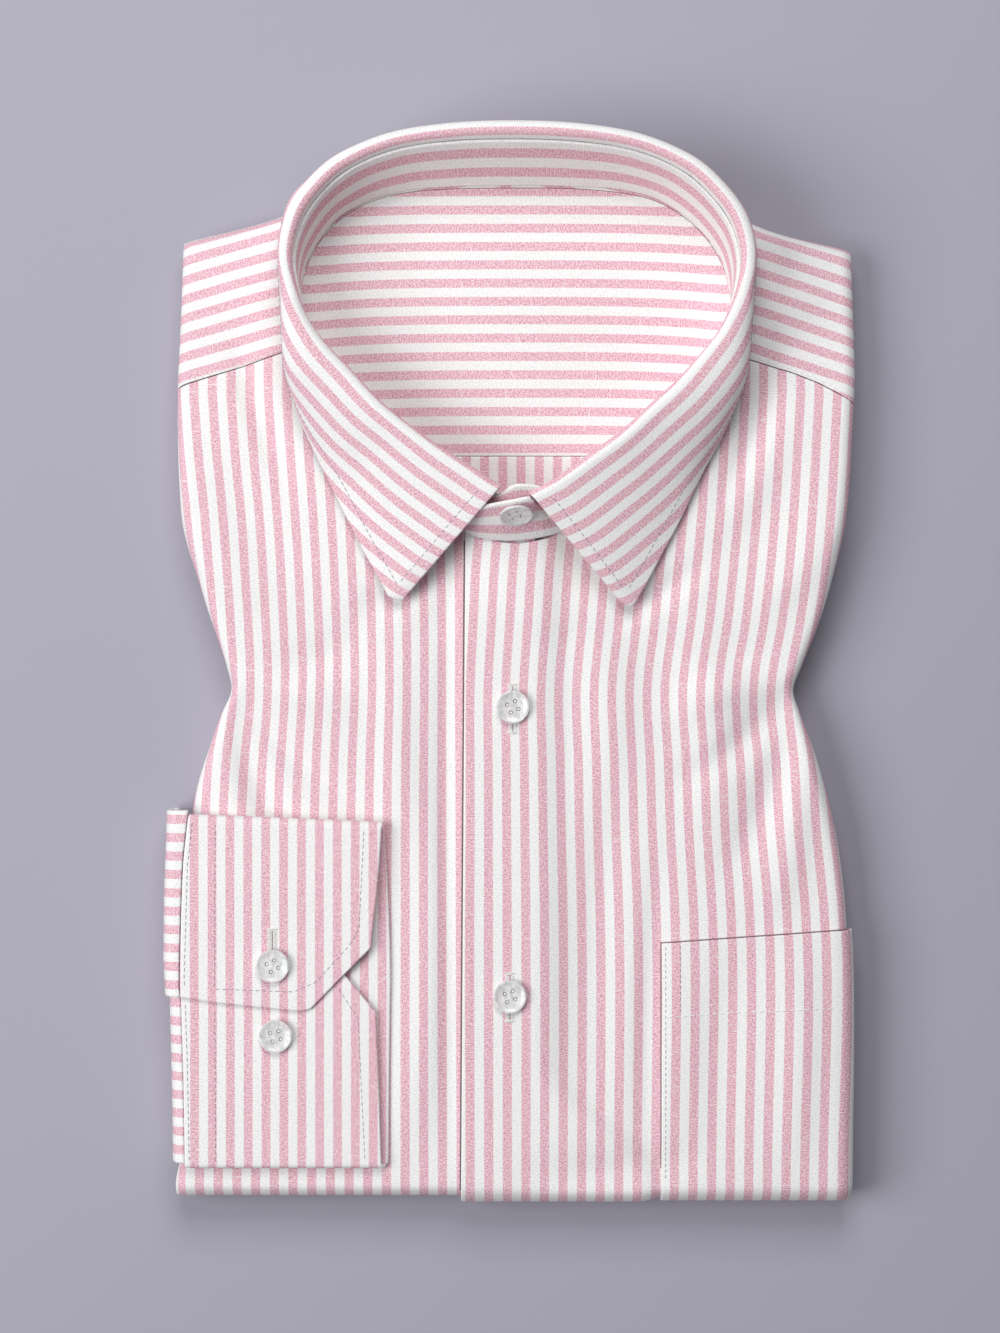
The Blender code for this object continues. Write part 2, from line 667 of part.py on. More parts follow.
def core_ring(border, row):
    """One level of the folded layers' outline."""
    ring = []
    for kind, x, y in border:
        side_in, side_z, tail_in, tail_z, shoulder_in, shoulder_z = row
        scale = 1.0
        if "shoulder" in kind:
            if "left" in kind:
                x = CORE_SHOULDER_LEFT
            if "right" in kind:
                x = CORE_SHOULDER_RIGHT
            y = shoulder_edge(x) - shoulder_in
            scale = shoulder_z / SLAB
        if "tail" in kind:
            y = TAIL_EDGE + tail_in
            scale = tail_z / SLAB
        if kind in ("tail left", "tail right"):
            side_in += CORE_CORNER
            y += CORE_CORNER
        if kind in ("shoulder left", "shoulder right"):
            side_in += CORE_SHOULDER_CORNER
            y -= CORE_SHOULDER_CORNER
        if "left" in kind:
            x = left_edge(y) + side_in
        if "right" in kind:
            x = right_edge(y) - side_in
        if kind in ("left", "right"):
            scale = side_z / SLAB
        elif "left" in kind or "right" in kind:
            scale = scale * side_z / SLAB
        ring.append((x, y, upper_height(x, y) * scale))
    return np.array(ring)


def build_folded_layers(surface):
    """All the layers that the fold hides, as one rounded solid with a hollow at the neck."""
    border = core_border()
    edges = [core_ring(border, row) for row in CORE_EDGES]
    edges[-1][:, 2] = 0.0
    first = edges[0]
    angle = np.arctan2(first[:, 1] - NECK_MIDDLE[1], first[:, 0] - NECK_MIDDLE[0])
    direction = np.stack([np.cos(angle), np.sin(angle)], axis=-1)
    radius = neck_radius(angle)
    below = CLOTH + FOLD_GAP
    dip = below + SEAM_GAP
    rings = []
    insets = [radius * share for share in HOLLOW_SHARES]
    insets += [np.full(len(radius), inset) for inset in HOLLOW_INSETS]
    for inward in insets:
        plan = np.array(NECK_MIDDLE) + direction * (radius - inward)[:, None]
        height = hollow_height(plan[:, 0], plan[:, 1])
        nearer = np.array(NECK_MIDDLE) + direction * (radius - inward - SLOPE_STEP)[:, None]
        steep = (height - hollow_height(nearer[:, 0], nearer[:, 1])) / SLOPE_STEP
        outward = dip * steep / np.hypot(1.0, steep)
        plan = plan + direction * outward[:, None]
        drop = dip / np.hypot(1.0, steep)
        rings.append(np.column_stack([plan, height - drop]))
    neck = np.array(NECK_MIDDLE) + direction * (radius + NECK_MARGIN)[:, None]
    for share in (0.0, 0.33, 0.67):
        plan = neck + (first[:, :2] - neck) * share
        height = upper_height(plan[:, 0], plan[:, 1]) - below - SEAM_GAP
        rings.append(np.column_stack([plan, height]))
    rings += edges
    count = len(border)
    middle = hollow_height(*NECK_MIDDLE) - dip
    points = [(*NECK_MIDDLE, middle)] + [tuple(p) for ring in rings for p in ring]
    points.append((0.0, 0.0, 0.0))
    faces = []
    for j in range(count):
        after = (j + 1) % count
        faces.append((0, 1 + j, 1 + after))
        for i in range(len(rings) - 1):
            a = 1 + i * count
            b = a + count
            faces.append((a + j, b + j, b + after, a + after))
        last = 1 + (len(rings) - 1) * count
        faces.append((len(points) - 1, last + after, last + j))
    add_solid("folded_layers", points, faces, surface)


# ---------------------------------------------------------------- collar

COLLAR_KEYS = np.arange(len(COLLAR), dtype=float)


def collar_at(keys):
    """Neck, fold and edge points of the collar at places along it."""
    values = [curve(COLLAR_KEYS, column(COLLAR, i), keys) for i in range(8)]
    neck_z = upper_height(values[0], values[1]) + SEAM_GAP
    neck = np.stack([values[0], values[1], neck_z], axis=-1)
    fold = np.stack(values[2:5], axis=-1)
    edge = np.stack(values[5:8], axis=-1)
    return neck, fold, edge


def collar_section(neck, fold, edge):
    """Outer face of the fall in one section, and the top of the band below it."""
    up = np.array([0.0, 0.0, 1.0])
    span = edge - fold
    out = np.array([span[0], span[1], 0.0])
    if np.hypot(out[0], out[1]) < UPRIGHT_FALL:
        out = np.array([fold[0] - NECK_MIDDLE[0], fold[1] - NECK_MIDDLE[1], 0.0])
    out /= np.linalg.norm(out)
    centre = fold - up * COLLAR_ROLL
    reach = edge - centre
    length = math.hypot(reach @ out, reach[2])
    fall_angle = math.pi / 2 + math.atan2(-reach[2], reach @ out)
    fall_angle -= math.acos(COLLAR_ROLL / length)
    rise = centre - neck
    rise_angle = math.atan2(rise[2], rise @ out)
    rise_angle += math.asin(COLLAR_ROLL / math.hypot(rise[2], rise @ out))
    start_angle = -rise_angle
    points = []
    along = math.cos(rise_angle) * out + math.sin(rise_angle) * up
    start = centre + COLLAR_ROLL * (math.sin(start_angle) * out + math.cos(start_angle) * up)
    band_top = start - along * (COLLAR_SEAM_DROP + SEAM_GAP)
    points.append(start - along * COLLAR_SEAM_DROP)
    for share in (0.0, 0.25, 0.5, 0.75, 1.0):
        angle = start_angle + (fall_angle - start_angle) * share
        points.append(centre + COLLAR_ROLL * (math.sin(angle) * out + math.cos(angle) * up))
    turned = points[-1]
    side = edge - turned
    outward = math.cos(fall_angle - math.pi / 2) * up + math.sin(fall_angle) * out * 0.6
    for share in (0.2, 0.4, 0.6, 0.8, 1.0):
        bow = LEAF_BOW * math.sin(math.pi * share)
        points.append(turned + side * share + outward * bow)
    return points, band_top


def build_collar(surface):
    """The fall with its two leaves, and the band that it is sewn to."""
    neck, fold, edge = collar_at(COLLAR_KEYS)
    sections = [collar_section(*row) for row in zip(neck, fold, edge)]
    face = np.array([points for points, _ in sections]).transpose(1, 0, 2)
    add_wall("collar_fall", face, moved_out(face, CLOTH), surface)
    build_band(surface, neck, [top for _, top in sections])


def band_end(rows):
    """Feet and heads of one end of the band, its foot on the front below it."""
    feet = []
    heads = []
    for foot_x, foot_y, head_x, head_y, head_z in rows:
        feet.append((foot_x, foot_y, upper_height(foot_x, foot_y) + SEAM_GAP))
        heads.append((head_x, head_y, head_z))
    return feet, heads


def build_band(surface, neck, tops):
    """The buttoned band, whose ends lie over each other at the front."""
    lap = BAND + SEAM_GAP
    under_feet, under_heads = band_end(BAND_UNDER)
    upper_feet, upper_heads = band_end(BAND_UPPER)
    feet = np.array(under_feet + list(neck) + upper_feet)
    heads = np.array(under_heads + list(tops) + upper_heads)
    slope = heads - feet
    slope /= np.linalg.norm(slope, axis=1, keepdims=True)
    out = feet[:, :2] - np.array(NECK_MIDDLE)
    out /= np.linalg.norm(out, axis=1, keepdims=True)
    lean = np.sum(slope[:, :2] * out, axis=1)
    feet = feet + slope * (BAND * np.clip(lean, 0.0, 1.0) / slope[:, 2])[:, None]
    shares = np.array([0.0, 0.33, 0.67, 1.0])[:, None, None]
    face = feet[None] + (heads - feet)[None] * shares
    lapped = np.zeros(len(feet))
    lapped[-len(LAPPED):] = LAPPED
    outward = moved_out(face, lap) - face
    face = face + outward * lapped[None, :, None]
    face[0, :, 2] += LAP_FOOT * lapped
    add_wall("collar_stand", face, moved_out(face, BAND), surface)


# ---------------------------------------------------------------- pocket, cuff and sleeve


def build_pocket(surface):
    """The chest pocket, laid on the upper front and folded with it."""
    side_steps = [roll_length(SIDE_ROLL, share) for share in TURNS[:4]]
    tail_steps = [roll_length(TAIL_ROLL, share) for share in LONG_TURNS[1:6]]
    columns = [(x, 0.0) for x in POCKET_COLUMNS]
    columns += [(None, step) for step in side_steps]
    grid = []
    for x, step in columns:
        reach = fold_start(POCKET_CORNER, left_side=False) + step if x is None else x
        top = np.interp(reach, column(POCKET_TOP, 0), column(POCKET_TOP, 1))
        bottom = TAIL_EDGE + TAIL_ROLL[0]
        along = top + (bottom - top) * np.array(POCKET_ROWS)
        along = np.concatenate([along, bottom - corner_steps(tail_steps, step)])
        if x is None:
            across = fold_start(np.clip(along, TAIL_EDGE, None), left_side=False) + step
        else:
            across = np.full(len(along), x)
        grid.append((across, along))
    add_panel("pocket", np.array(grid).transpose(1, 2, 0), POCKET_GAP + CLOTH, surface)


def cuff_section(upper_end, lower_end):
    """The cuff's outer face round its flattened loop, from the lower to the upper flap."""
    near = CUFF_ROLL_NEAR
    far = CUFF_ROLL_FAR
    base = CUFF_BASE
    points = []
    low_top = base + 2 * near
    high_top = base + 2 * far
    y_near = CUFF_NEAR + near
    y_far = CUFF_FAR - far
    for share in (0.0, 0.3, 0.65):
        points.append((lower_end + (y_near - lower_end) * share, low_top))
    for turn in (0.0, 45.0, 90.0, 135.0, 180.0):
        angle = math.radians(turn)
        points.append((y_near - near * math.sin(angle), base + near * (1 + math.cos(angle))))
    for share in (0.25, 0.5, 0.75):
        points.append((y_near + (y_far - y_near) * share, base))
    for turn in (180.0, 135.0, 90.0, 45.0, 0.0):
        angle = math.radians(turn)
        points.append((y_far + far * math.sin(angle), base + far * (1 + math.cos(angle))))
    for share in (0.3, 0.6, 0.85, 1.0):
        points.append((y_far + (upper_end - y_far) * share, high_top))
    return points


def build_cuff(surface):
    """The cuff, flattened, with its mitred ends lying over each other."""
    grid = []
    for x, upper_end, lower_end in CUFF_MITRES:
        grid.append([(x, y, z) for y, z in cuff_section(upper_end, lower_end)])
    grid = np.array(grid)
    lower = grid[-1, :, 2] < CUFF_BASE + CUFF_ROLL_NEAR / 2
    grid[-1, lower, 0] = CUFF_EDGE_LOWER
    face = grid.transpose(1, 0, 2)
    add_wall("cuff", face, moved_out(face, -CLOTH), surface)


def build_sleeve(surface):
    """The flattened sleeve: from the cuff over the side fold, down, and back up inside."""
    end = CUFF_SEAM - SEAM_GAP
    high = CUFF_BASE + 2 * CUFF_ROLL_FAR
    grid = []
    for y in np.linspace(SLEEVE_FAR, SLEEVE_NEAR, SLEEVE_ROWS):
        out = curve(column(SLEEVE_OUT, 0), column(SLEEVE_OUT, 1), y)
        inner = out + 2 * SLEEVE_TURN
        section = [(end, high)] + [(out + inward, high - down) for inward, down in SLEEVE_SHOULDER]
        section.append((out, SLEEVE_STRAIGHT))
        for turn in (0.0, 45.0, 90.0, 135.0, 180.0):
            angle = math.radians(turn)
            section.append((out + SLEEVE_TURN * (1 - math.cos(angle)),
                            SLEEVE_LOW - SLEEVE_TURN * math.sin(angle)))
        section += [(inner, SLEEVE_STRAIGHT)] + [(inner + inward, z) for inward, z in SLEEVE_INNER]
        section.append((end, CUFF_BASE))
        grid.append([(x, y, z) for x, z in section])
    face = np.array(grid)[:, ::-1]
    add_wall("sleeve", face, moved_out(face, -CLOTH), surface)


# ---------------------------------------------------------------- buttons


def turned_mesh(name, profile, steps):
    """A closed turned body from a profile of radii and heights, pole to pole."""
    mesh = bpy.data.meshes.new(name)
    shape = bmesh.new()
    rings = []
    for radius, height in profile:
        if radius == 0.0:
            rings.append([shape.verts.new((0.0, 0.0, height * MM))])
            continue
        ring = []
        for i in range(steps):
            angle = 2 * math.pi * i / steps
            ring.append(shape.verts.new((radius * math.cos(angle) * MM,
                                         radius * math.sin(angle) * MM, height * MM)))
        rings.append(ring)
    for low, high in zip(rings, rings[1:]):
        for i in range(steps):
            after = (i + 1) % steps
            if len(low) == 1:
                shape.faces.new((low[0], high[i], high[after]))
            elif len(high) == 1:
                shape.faces.new((low[i], high[0], low[after]))
            else:
                shape.faces.new((low[i], high[i], high[after], low[after]))
    bmesh.ops.recalc_face_normals(shape, faces=shape.faces)
    shape.to_mesh(mesh)
    shape.free()
    return mesh


def hole_cutter(name):
    """Four upright rods, as one mesh, where a button is sewn through."""
    mesh = bpy.data.meshes.new(name)
    shape = bmesh.new()
    half = BUTTON_HOLE_SPACING / 2 * MM
    for x in (-half, half):
        for y in (-half, half):
            radius = BUTTON_HOLE / 2 * MM
            rod = bmesh.ops.create_cone(shape, cap_ends=True, segments=6, radius1=radius,
                                        radius2=radius, depth=4 * BUTTON_THICKNESS * MM)
            bmesh.ops.translate(shape, verts=rod["verts"], vec=(x, y, 0.0))
    shape.to_mesh(mesh)
    shape.free()
    return mesh


def build_buttons(surface):
    """Shirt buttons with a raised rim, a dished middle and four holes."""
    profile = [(BUTTON_DIAMETER / 2 * out, BUTTON_THICKNESS * up) for out, up in BUTTON_PROFILE]
    for name, x, y, lean, turn in BUTTONS:
        mesh = turned_mesh(name, profile, BUTTON_STEPS)
        mesh.materials.append(surface)
        button = bpy.data.objects.new(name, mesh)
        cutter = bpy.data.objects.new("holes_of_" + name, hole_cutter("holes_of_" + name))
        for piece in (button, cutter):
            bpy.context.collection.objects.link(piece)
            piece.rotation_euler = (math.radians(lean), 0.0, math.radians(turn))
            piece.location = (x * MM, y * MM, button_height(name, x, y) * MM)
        cutter.hide_render = True
        cutter.display_type = "WIRE"
        holes = button.modifiers.new("holes", "BOOLEAN")
        holes.operation = "DIFFERENCE"
        holes.solver = "EXACT"
        holes.object = cutter


def button_height(name, x, y):
    """Height of the underside of a button, just clear of the cloth that it is sewn to."""
    if name == "button_collar":
        return COLLAR_BUTTON_HEIGHT
    if name == "button_cuff_upper":
        return CUFF_BASE + 2 * CUFF_ROLL_FAR + SEAM_GAP
    if name == "button_cuff_lower":
        return CUFF_BASE + 2 * CUFF_ROLL_NEAR + SEAM_GAP
    return float(upper_height(x, y)) + CLOTH + 2 * SEAM_GAP


# ---------------------------------------------------------------- the whole shirt


def main():
    for thing in list(bpy.data.objects):
        bpy.data.objects.remove(thing)
    cotton = material("striped_cotton", (0.82, 0.55, 0.62), 0.85)
    lining = material("striped_cotton_inside", (0.85, 0.6, 0.66), 0.85)
    layers = material("striped_cotton_folded", (0.78, 0.5, 0.57), 0.9)
    pearl = material("pearl_button", (0.86, 0.86, 0.84), 0.25)
    build_folded_layers(layers)
    build_fronts(cotton)
    build_yoke(cotton)
    build_inside(lining)
    build_collar(cotton)
    build_pocket(cotton)
    build_cuff(cotton)
    build_sleeve(cotton)
    build_buttons(pearl)


main()
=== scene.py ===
# %% [markdown]
# # A folded dress shirt, seen from straight above
#
# The shirt is buttoned up, folded into a flat parcel and laid on its back. Its shape is
# already there as plain solids, one for each sewn piece. This lesson gives every piece its
# cloth: a thin shell with soft creases, stripes that follow the yarns, stitches and pearl
# buttons. Each cell makes one piece or one finish and prints what it made.

# %% Load the frame
import math

import bmesh
import bpy
import numpy as np
from mathutils import Matrix, Vector

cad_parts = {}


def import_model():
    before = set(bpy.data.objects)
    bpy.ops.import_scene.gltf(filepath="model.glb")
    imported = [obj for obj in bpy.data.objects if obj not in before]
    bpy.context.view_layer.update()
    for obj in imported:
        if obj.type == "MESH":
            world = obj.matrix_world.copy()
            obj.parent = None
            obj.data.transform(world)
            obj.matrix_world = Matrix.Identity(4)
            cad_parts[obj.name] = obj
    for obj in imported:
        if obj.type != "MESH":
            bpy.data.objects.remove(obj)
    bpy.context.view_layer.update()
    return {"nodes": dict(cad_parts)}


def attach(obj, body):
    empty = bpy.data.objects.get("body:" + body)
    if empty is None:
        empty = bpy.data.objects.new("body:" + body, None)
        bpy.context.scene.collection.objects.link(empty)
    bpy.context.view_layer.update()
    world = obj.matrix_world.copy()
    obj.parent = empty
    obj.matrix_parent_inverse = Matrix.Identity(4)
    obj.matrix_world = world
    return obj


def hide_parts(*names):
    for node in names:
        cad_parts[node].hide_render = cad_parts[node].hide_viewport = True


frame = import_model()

MM = 0.001
print("solids in the frame:", len(frame["nodes"]))

# %% [markdown]
# ## The sizes of the shirt
#
# Cloth pieces have to meet their neighbours all round, so all of them are worked out from
# the same few tables, in millimetres: the outline of the parcel, the height of its upper
# face, the seams and the neck. A smooth curve through a short table is easier to correct
# than a long list of points.

# %% Sizes of the folded body
SHELL = 0.8            # thickness of one ply as it is shown
PLY = 1.3              # thickness that one ply takes up in the stack
SEAM_GAP = 0.3         # between pieces that are sewn or lie on each other
SLAB = 20.0            # nominal height of the folded body

SIDE_EDGES = (         # up the shirt: where its left and its right side fold lie
    # y, left, right
    (-187.0, -117.3, 118.4),
    (-180.0, -117.2, 118.6),
    (-172.0, -115.5, 118.7),
    (-160.0, -115.2, 118.8),
    (-135.0, -115.2, 119.1),
    (-103.0, -114.8, 118.8),
    (-76.0, -113.8, 117.1),
    (-58.0, -112.4, 114.5),
    (-43.0, -110.0, 111.0),
    (-29.0, -105.7, 106.7),
    (-16.0, -101.0, 101.9),
    (-8.5, -97.8, 99.6),
    (0.0, -99.4, 102.6),
    (9.0, -102.3, 106.3),
    (20.0, -106.1, 110.2),
    (32.0, -109.8, 113.6),
    (40.0, -112.4, 115.7),
    (48.0, -114.5, 117.5),
    (64.0, -116.0, 119.3),
    (83.0, -116.6, 120.4),
    (98.0, -116.6, 121.2),
    (125.0, -115.5, 120.7),
    (150.0, -114.8, 120.0),
)
SHOULDER_EDGE = (      # across the shirt: the fold over the shoulders
    # x, y
    (-114.8, 149.3),
    (-80.0, 158.8),
    (-60.0, 167.4),
    (-38.5, 174.5),
    (2.0, 177.5),
    (40.0, 174.5),
    (64.0, 168.0),
    (86.8, 155.5),
    (120.0, 146.4),
)
TAIL_EDGE = -186.3     # the fold across the bottom
TOP_HEIGHTS = (        # up the shirt: how high its upper face lies
    # y, z
    (-187.0, 19.8),
    (-120.0, 20.2),
    (-60.0, 19.9),
    (-8.0, 19.7),
    (45.0, 20.6),
    (80.0, 20.2),
    (105.0, 19.4),
    (128.0, 18.5),
    (150.0, 16.8),
    (168.0, 15.2),
    (190.0, 14.8),
)
NECK_RISE = 0.9        # the fronts stand up a little under the buttoned band
NECK_RISE_WIDTH = 28.0

SIDE_ROLL = (4.5, 4.5, 135.0)       # reach, half height and turn in degrees of each fold
TAIL_ROLL = (5.0, 9.3, 165.0)
SHOULDER_ROLL = (4.5, 7.0, 150.0)
CORNER_DRAW = 0.45     # share of the tall folds' turn given up at the corners

YOKE_SEAM = (          # across the shirt: the seam between yoke and fronts
    # x, y
    (-130.0, 95.0),
    (-116.3, 98.0),
    (-97.9, 103.8),
    (-79.7, 110.1),
    (-73.0, 112.6),
    (77.4, 109.5),
    (84.8, 107.3),
    (98.1, 103.4),
    (108.6, 99.2),
    (120.7, 92.7),
    (134.0, 89.0),
)
PLACKET_EDGE = -17.0   # folded edge of the upper front
PLACKET_UNDER = 9.0    # the under front reaches this far below it
PLACKET_STEP = 22.0    # the upper front is back on the body here
BAND = 1.5             # thickness of the band that carries the collar

NECK_MIDDLE = (2.0, 110.0)
NECK_SEAM = (          # the neckline, anticlockwise from the middle of the front
    # x, y
    (2.2, 45.2),
    (23.5, 50.5),
    (42.7, 62.7),
    (63.0, 81.0),
    (73.6, 98.5),
    (77.6, 114.3),
    (77.4, 128.4),
    (75.2, 139.5),
    (69.6, 149.7),
    (60.4, 158.7),
    (47.5, 165.0),
    (26.0, 167.9),
    (2.0, 168.3),
    (-24.5, 167.8),
    (-42.5, 165.4),
    (-56.1, 159.6),
    (-65.4, 150.8),
    (-71.1, 140.5),
    (-73.7, 128.4),
    (-73.4, 114.3),
    (-69.2, 98.5),
    (-57.6, 81.0),
    (-38.4, 63.4),
    (-19.1, 51.2),
)
HOLLOW_FLOOR = 14.0    # the back of the shirt, seen inside the neck
HOLLOW_BULGE = 1.4
HOLLOW_BULGE_WIDTH = 35.0
HOLLOW_SLOPE = 9.0     # width of the slope from the neck seam to that floor
LINING_SEAM = 74.0     # lower edge of the inner yoke
NECK_CLEAR = 0.3       # the inside stops this far short of the neck seam
LINING_RISE = 1.7      # the inner yoke comes up to the band's foot
LINING_RISE_WIDTH = 2.6
print("length of the parcel:", SHOULDER_EDGE[4][1] - TAIL_EDGE, "mm")


# %% Curves through the tables
def column(table, index):
    """One named column of a table."""
    return np.array([row[index] for row in table], float)


def curve(keys, values, at):
    """A smooth curve through a table's points, held level past its ends."""
    at = np.clip(at, keys[0], keys[-1])
    step = np.diff(keys)
    tangent = np.gradient(values, keys)
    cell = np.clip(np.searchsorted(keys, at) - 1, 0, len(step) - 1)
    t = (at - keys[cell]) / step[cell]
    start = values[cell] * (1 + 2 * t) + step[cell] * tangent[cell] * t
    end = values[cell + 1] * (3 - 2 * t) - step[cell] * tangent[cell + 1] * (1 - t)
    return start * (1 - t) ** 2 + end * t ** 2


def ease(t):
    """A smooth step from 0 to 1."""
    t = np.clip(t, 0.0, 1.0)
    return t * t * (3 - 2 * t)


def between(at, start, end):
    """A smooth step from 0 at start to 1 at end."""
    return ease((at - start) / (end - start))


def left_edge(y):
    """Where the left side fold lies at a height up the shirt."""
    return curve(column(SIDE_EDGES, 0), column(SIDE_EDGES, 1), y)


def right_edge(y):
    """Where the right side fold lies."""
    return curve(column(SIDE_EDGES, 0), column(SIDE_EDGES, 2), y)


def shoulder_edge(x):
    """How far up the shirt its shoulder fold lies."""
    return curve(column(SHOULDER_EDGE, 0), column(SHOULDER_EDGE, 1), x)


def yoke_seam(x):
    """How far up the shirt the seam between yoke and fronts lies."""
    return np.interp(x, column(YOKE_SEAM, 0), column(YOKE_SEAM, 1))


def neck_loop(count):
    """The neck seam as a closed smooth loop."""
    wrap = 3
    rows = NECK_SEAM[-wrap:] + NECK_SEAM + NECK_SEAM[:wrap + 1]
    keys = np.arange(len(rows), dtype=float) - wrap
    at = np.linspace(0.0, len(NECK_SEAM), count, endpoint=False)
    return curve(keys, column(rows, 0), at), curve(keys, column(rows, 1), at)


NECK_PLACES = 1440     # four for each degree round the neck
NECK_X, NECK_Y = neck_loop(NECK_PLACES)
NECK_ANGLE = np.arctan2(NECK_Y - NECK_MIDDLE[1], NECK_X - NECK_MIDDLE[0])
NECK_RADIUS = np.hypot(NECK_X - NECK_MIDDLE[0], NECK_Y - NECK_MIDDLE[1])
NECK_LEFT = float(NECK_X.min())
NECK_RIGHT = float(NECK_X.max())


def neck_radius(angle):
    """Distance of the neck seam from the neck's middle, in a direction."""
    order = np.argsort(NECK_ANGLE)
    return np.interp(angle, NECK_ANGLE[order], NECK_RADIUS[order], period=2 * math.pi)


def neck_arc(x, front):
    """Height up the shirt of the neck seam's front or back half."""
    split = NECK_Y[np.argmin(NECK_X)]
    half = NECK_Y < split if front else NECK_Y >= split
    order = np.argsort(NECK_X[half])
    return np.interp(x, NECK_X[half][order], NECK_Y[half][order])


print("neck opening:", round(NECK_RIGHT - NECK_LEFT, 1), "mm across")

# %% [markdown]
# ## Creases
#
# Washed and folded cotton is never flat. Its creases are shallow troughs and ridges that
# start where the cloth is pinched and fade out along its length, each a little different.
# They could come from a cloth simulation, but placed one by one they fall just where the folds
# pull on the cloth. Every crease here is a line with a width, a height that is negative for
# a trough, and a bow. Pieces that lie on each other share the same creases.

# %% Creases of the body
CREASE_DEPTH = 1.75    # millimetres for a height of 1 in the table
CREASE_END = 0.25      # share of its height that a crease keeps at its ends
CREASE_FULL = 0.8      # below 1 it keeps its height for longer before it fades
CREASES = (
    # from x, from y, to x, to y, width, height, bow
    (-96.0, -9.0, -58.0, -44.0, 5.0, -1.4, 3.0),       # from the left waist, down and in
    (-98.0, -4.0, -52.0, -20.0, 6.5, 1.3, -4.0),
    (-97.0, -14.0, -72.0, -66.0, 5.5, -1.2, 4.0),
    (-95.0, -6.0, -50.0, 12.0, 7.0, -0.9, 3.0),
    (-100.0, -22.0, -84.0, -84.0, 7.0, 0.9, 3.0),
    (98.0, -9.0, 60.0, -40.0, 5.5, -1.3, -3.0),        # from the right waist
    (99.0, -4.0, 58.0, -16.0, 7.0, 1.3, 3.0),
    (99.0, -14.0, 78.0, -70.0, 6.0, -1.3, -4.0),
    (96.0, -4.0, 52.0, 20.0, 7.0, -0.9, -3.0),
    (102.0, -24.0, 92.0, -84.0, 7.0, 1.1, -3.0),
    (-110.0, 52.0, -84.0, 22.0, 8.0, 1.0, 3.0),        # above the waist
    (-100.0, 70.0, -70.0, 34.0, 9.0, -0.9, 4.0),
    (112.0, 50.0, 88.0, 22.0, 8.0, 1.0, -3.0),
    (102.0, 74.0, 74.0, 38.0, 9.0, -0.9, -4.0),
    (-96.0, 116.0, -76.0, 62.0, 5.0, -1.5, 2.0),       # beside the collar
    (96.0, 112.0, 74.0, 58.0, 5.0, -1.5, -2.0),
    (-104.0, 140.0, -84.0, 120.0, 8.0, 0.8, 0.0),
    (108.0, 136.0, 90.0, 118.0, 8.0, 0.8, 0.0),
    (-54.0, 18.0, -18.0, 36.0, 5.0, -1.3, 0.0),        # below the collar's points
    (38.0, 16.0, 66.0, 34.0, 5.0, -1.2, 0.0),
    (-40.0, 6.0, -34.0, -62.0, 9.0, 1.1, 3.0),         # long soft waves down the fronts
    (-52.0, -40.0, -60.0, -150.0, 10.0, -0.9, 4.0),
    (-28.0, -60.0, -36.0, -166.0, 9.0, 1.0, -4.0),
    (-22.0, 30.0, -21.0, -168.0, 3.5, -0.9, 0.5),      # beside the upper front's edge
    (28.0, 30.0, 36.0, -60.0, 10.0, 1.1, -3.0),
    (40.0, -30.0, 30.0, -150.0, 9.0, -1.0, 4.0),
    (64.0, 20.0, 70.0, -60.0, 10.0, 1.2, -4.0),
    (52.0, -70.0, 48.0, -170.0, 5.0, -1.0, 1.0),       # beside the pocket
    (80.0, -100.0, 74.0, -170.0, 9.0, -0.8, 3.0),
    (100.0, -96.0, 98.0, -172.0, 8.0, 0.9, -2.0),
    (8.0, -178.0, 66.0, -172.0, 7.0, -1.0, 2.0),       # along the tail
    (-6.0, 28.0, 24.0, 14.0, 7.0, 0.8, 3.0),           # below the buttoned band
    (-10.0, 36.0, -30.0, 8.0, 7.0, -0.8, 2.0),
    (14.0, 36.0, 38.0, 10.0, 7.0, -0.7, -2.0),
)


def crease_height(x, y):
    """Sum of all creases at places on the shirt."""
    total = np.zeros(np.broadcast(x, y).shape)
    for x0, y0, x1, y1, width, height, bow in CREASES:
        length = math.hypot(x1 - x0, y1 - y0)
        share = ((x - x0) * (x1 - x0) + (y - y0) * (y1 - y0)) / length ** 2
        across = ((x - x0) * (y1 - y0) - (y - y0) * (x1 - x0)) / length
        inside = np.clip(share, 0.0, 1.0)
        across = across - bow * 4 * inside * (1 - inside)
        beyond = (share - inside) * length
        fade = CREASE_END + (1 - CREASE_END) * np.sin(math.pi * inside) ** CREASE_FULL
        total += height * fade * np.exp(-(across ** 2 + beyond ** 2) / width ** 2)
    return CREASE_DEPTH * total


print("creases:", len(CREASES))


# %% The body's upper face
def upper_height(x, y):
    """Height of the body's upper face, with the rise below the collar's band."""
    away = ((x - NECK_MIDDLE[0]) ** 2 + (y - NECK_SEAM[0][1]) ** 2) / NECK_RISE_WIDTH ** 2
    return curve(column(TOP_HEIGHTS, 0), column(TOP_HEIGHTS, 1), y) + NECK_RISE * np.exp(-away)


def roll(past, shape, out):
    """Reach and drop of cloth that has run some way past the start of a fold."""
    reach, height, turn = shape
    angle = np.clip(past / ((reach + height) / 2), 0.0, math.radians(turn))
    return (reach + out) * np.sin(angle), (height + out) * (1 - np.cos(angle))


def roll_length(shape, share=1.0):
    """Cloth that a fold takes up, to a share of its turn."""
    reach, height, turn = shape
    return share * math.radians(turn) * (reach + height) / 2


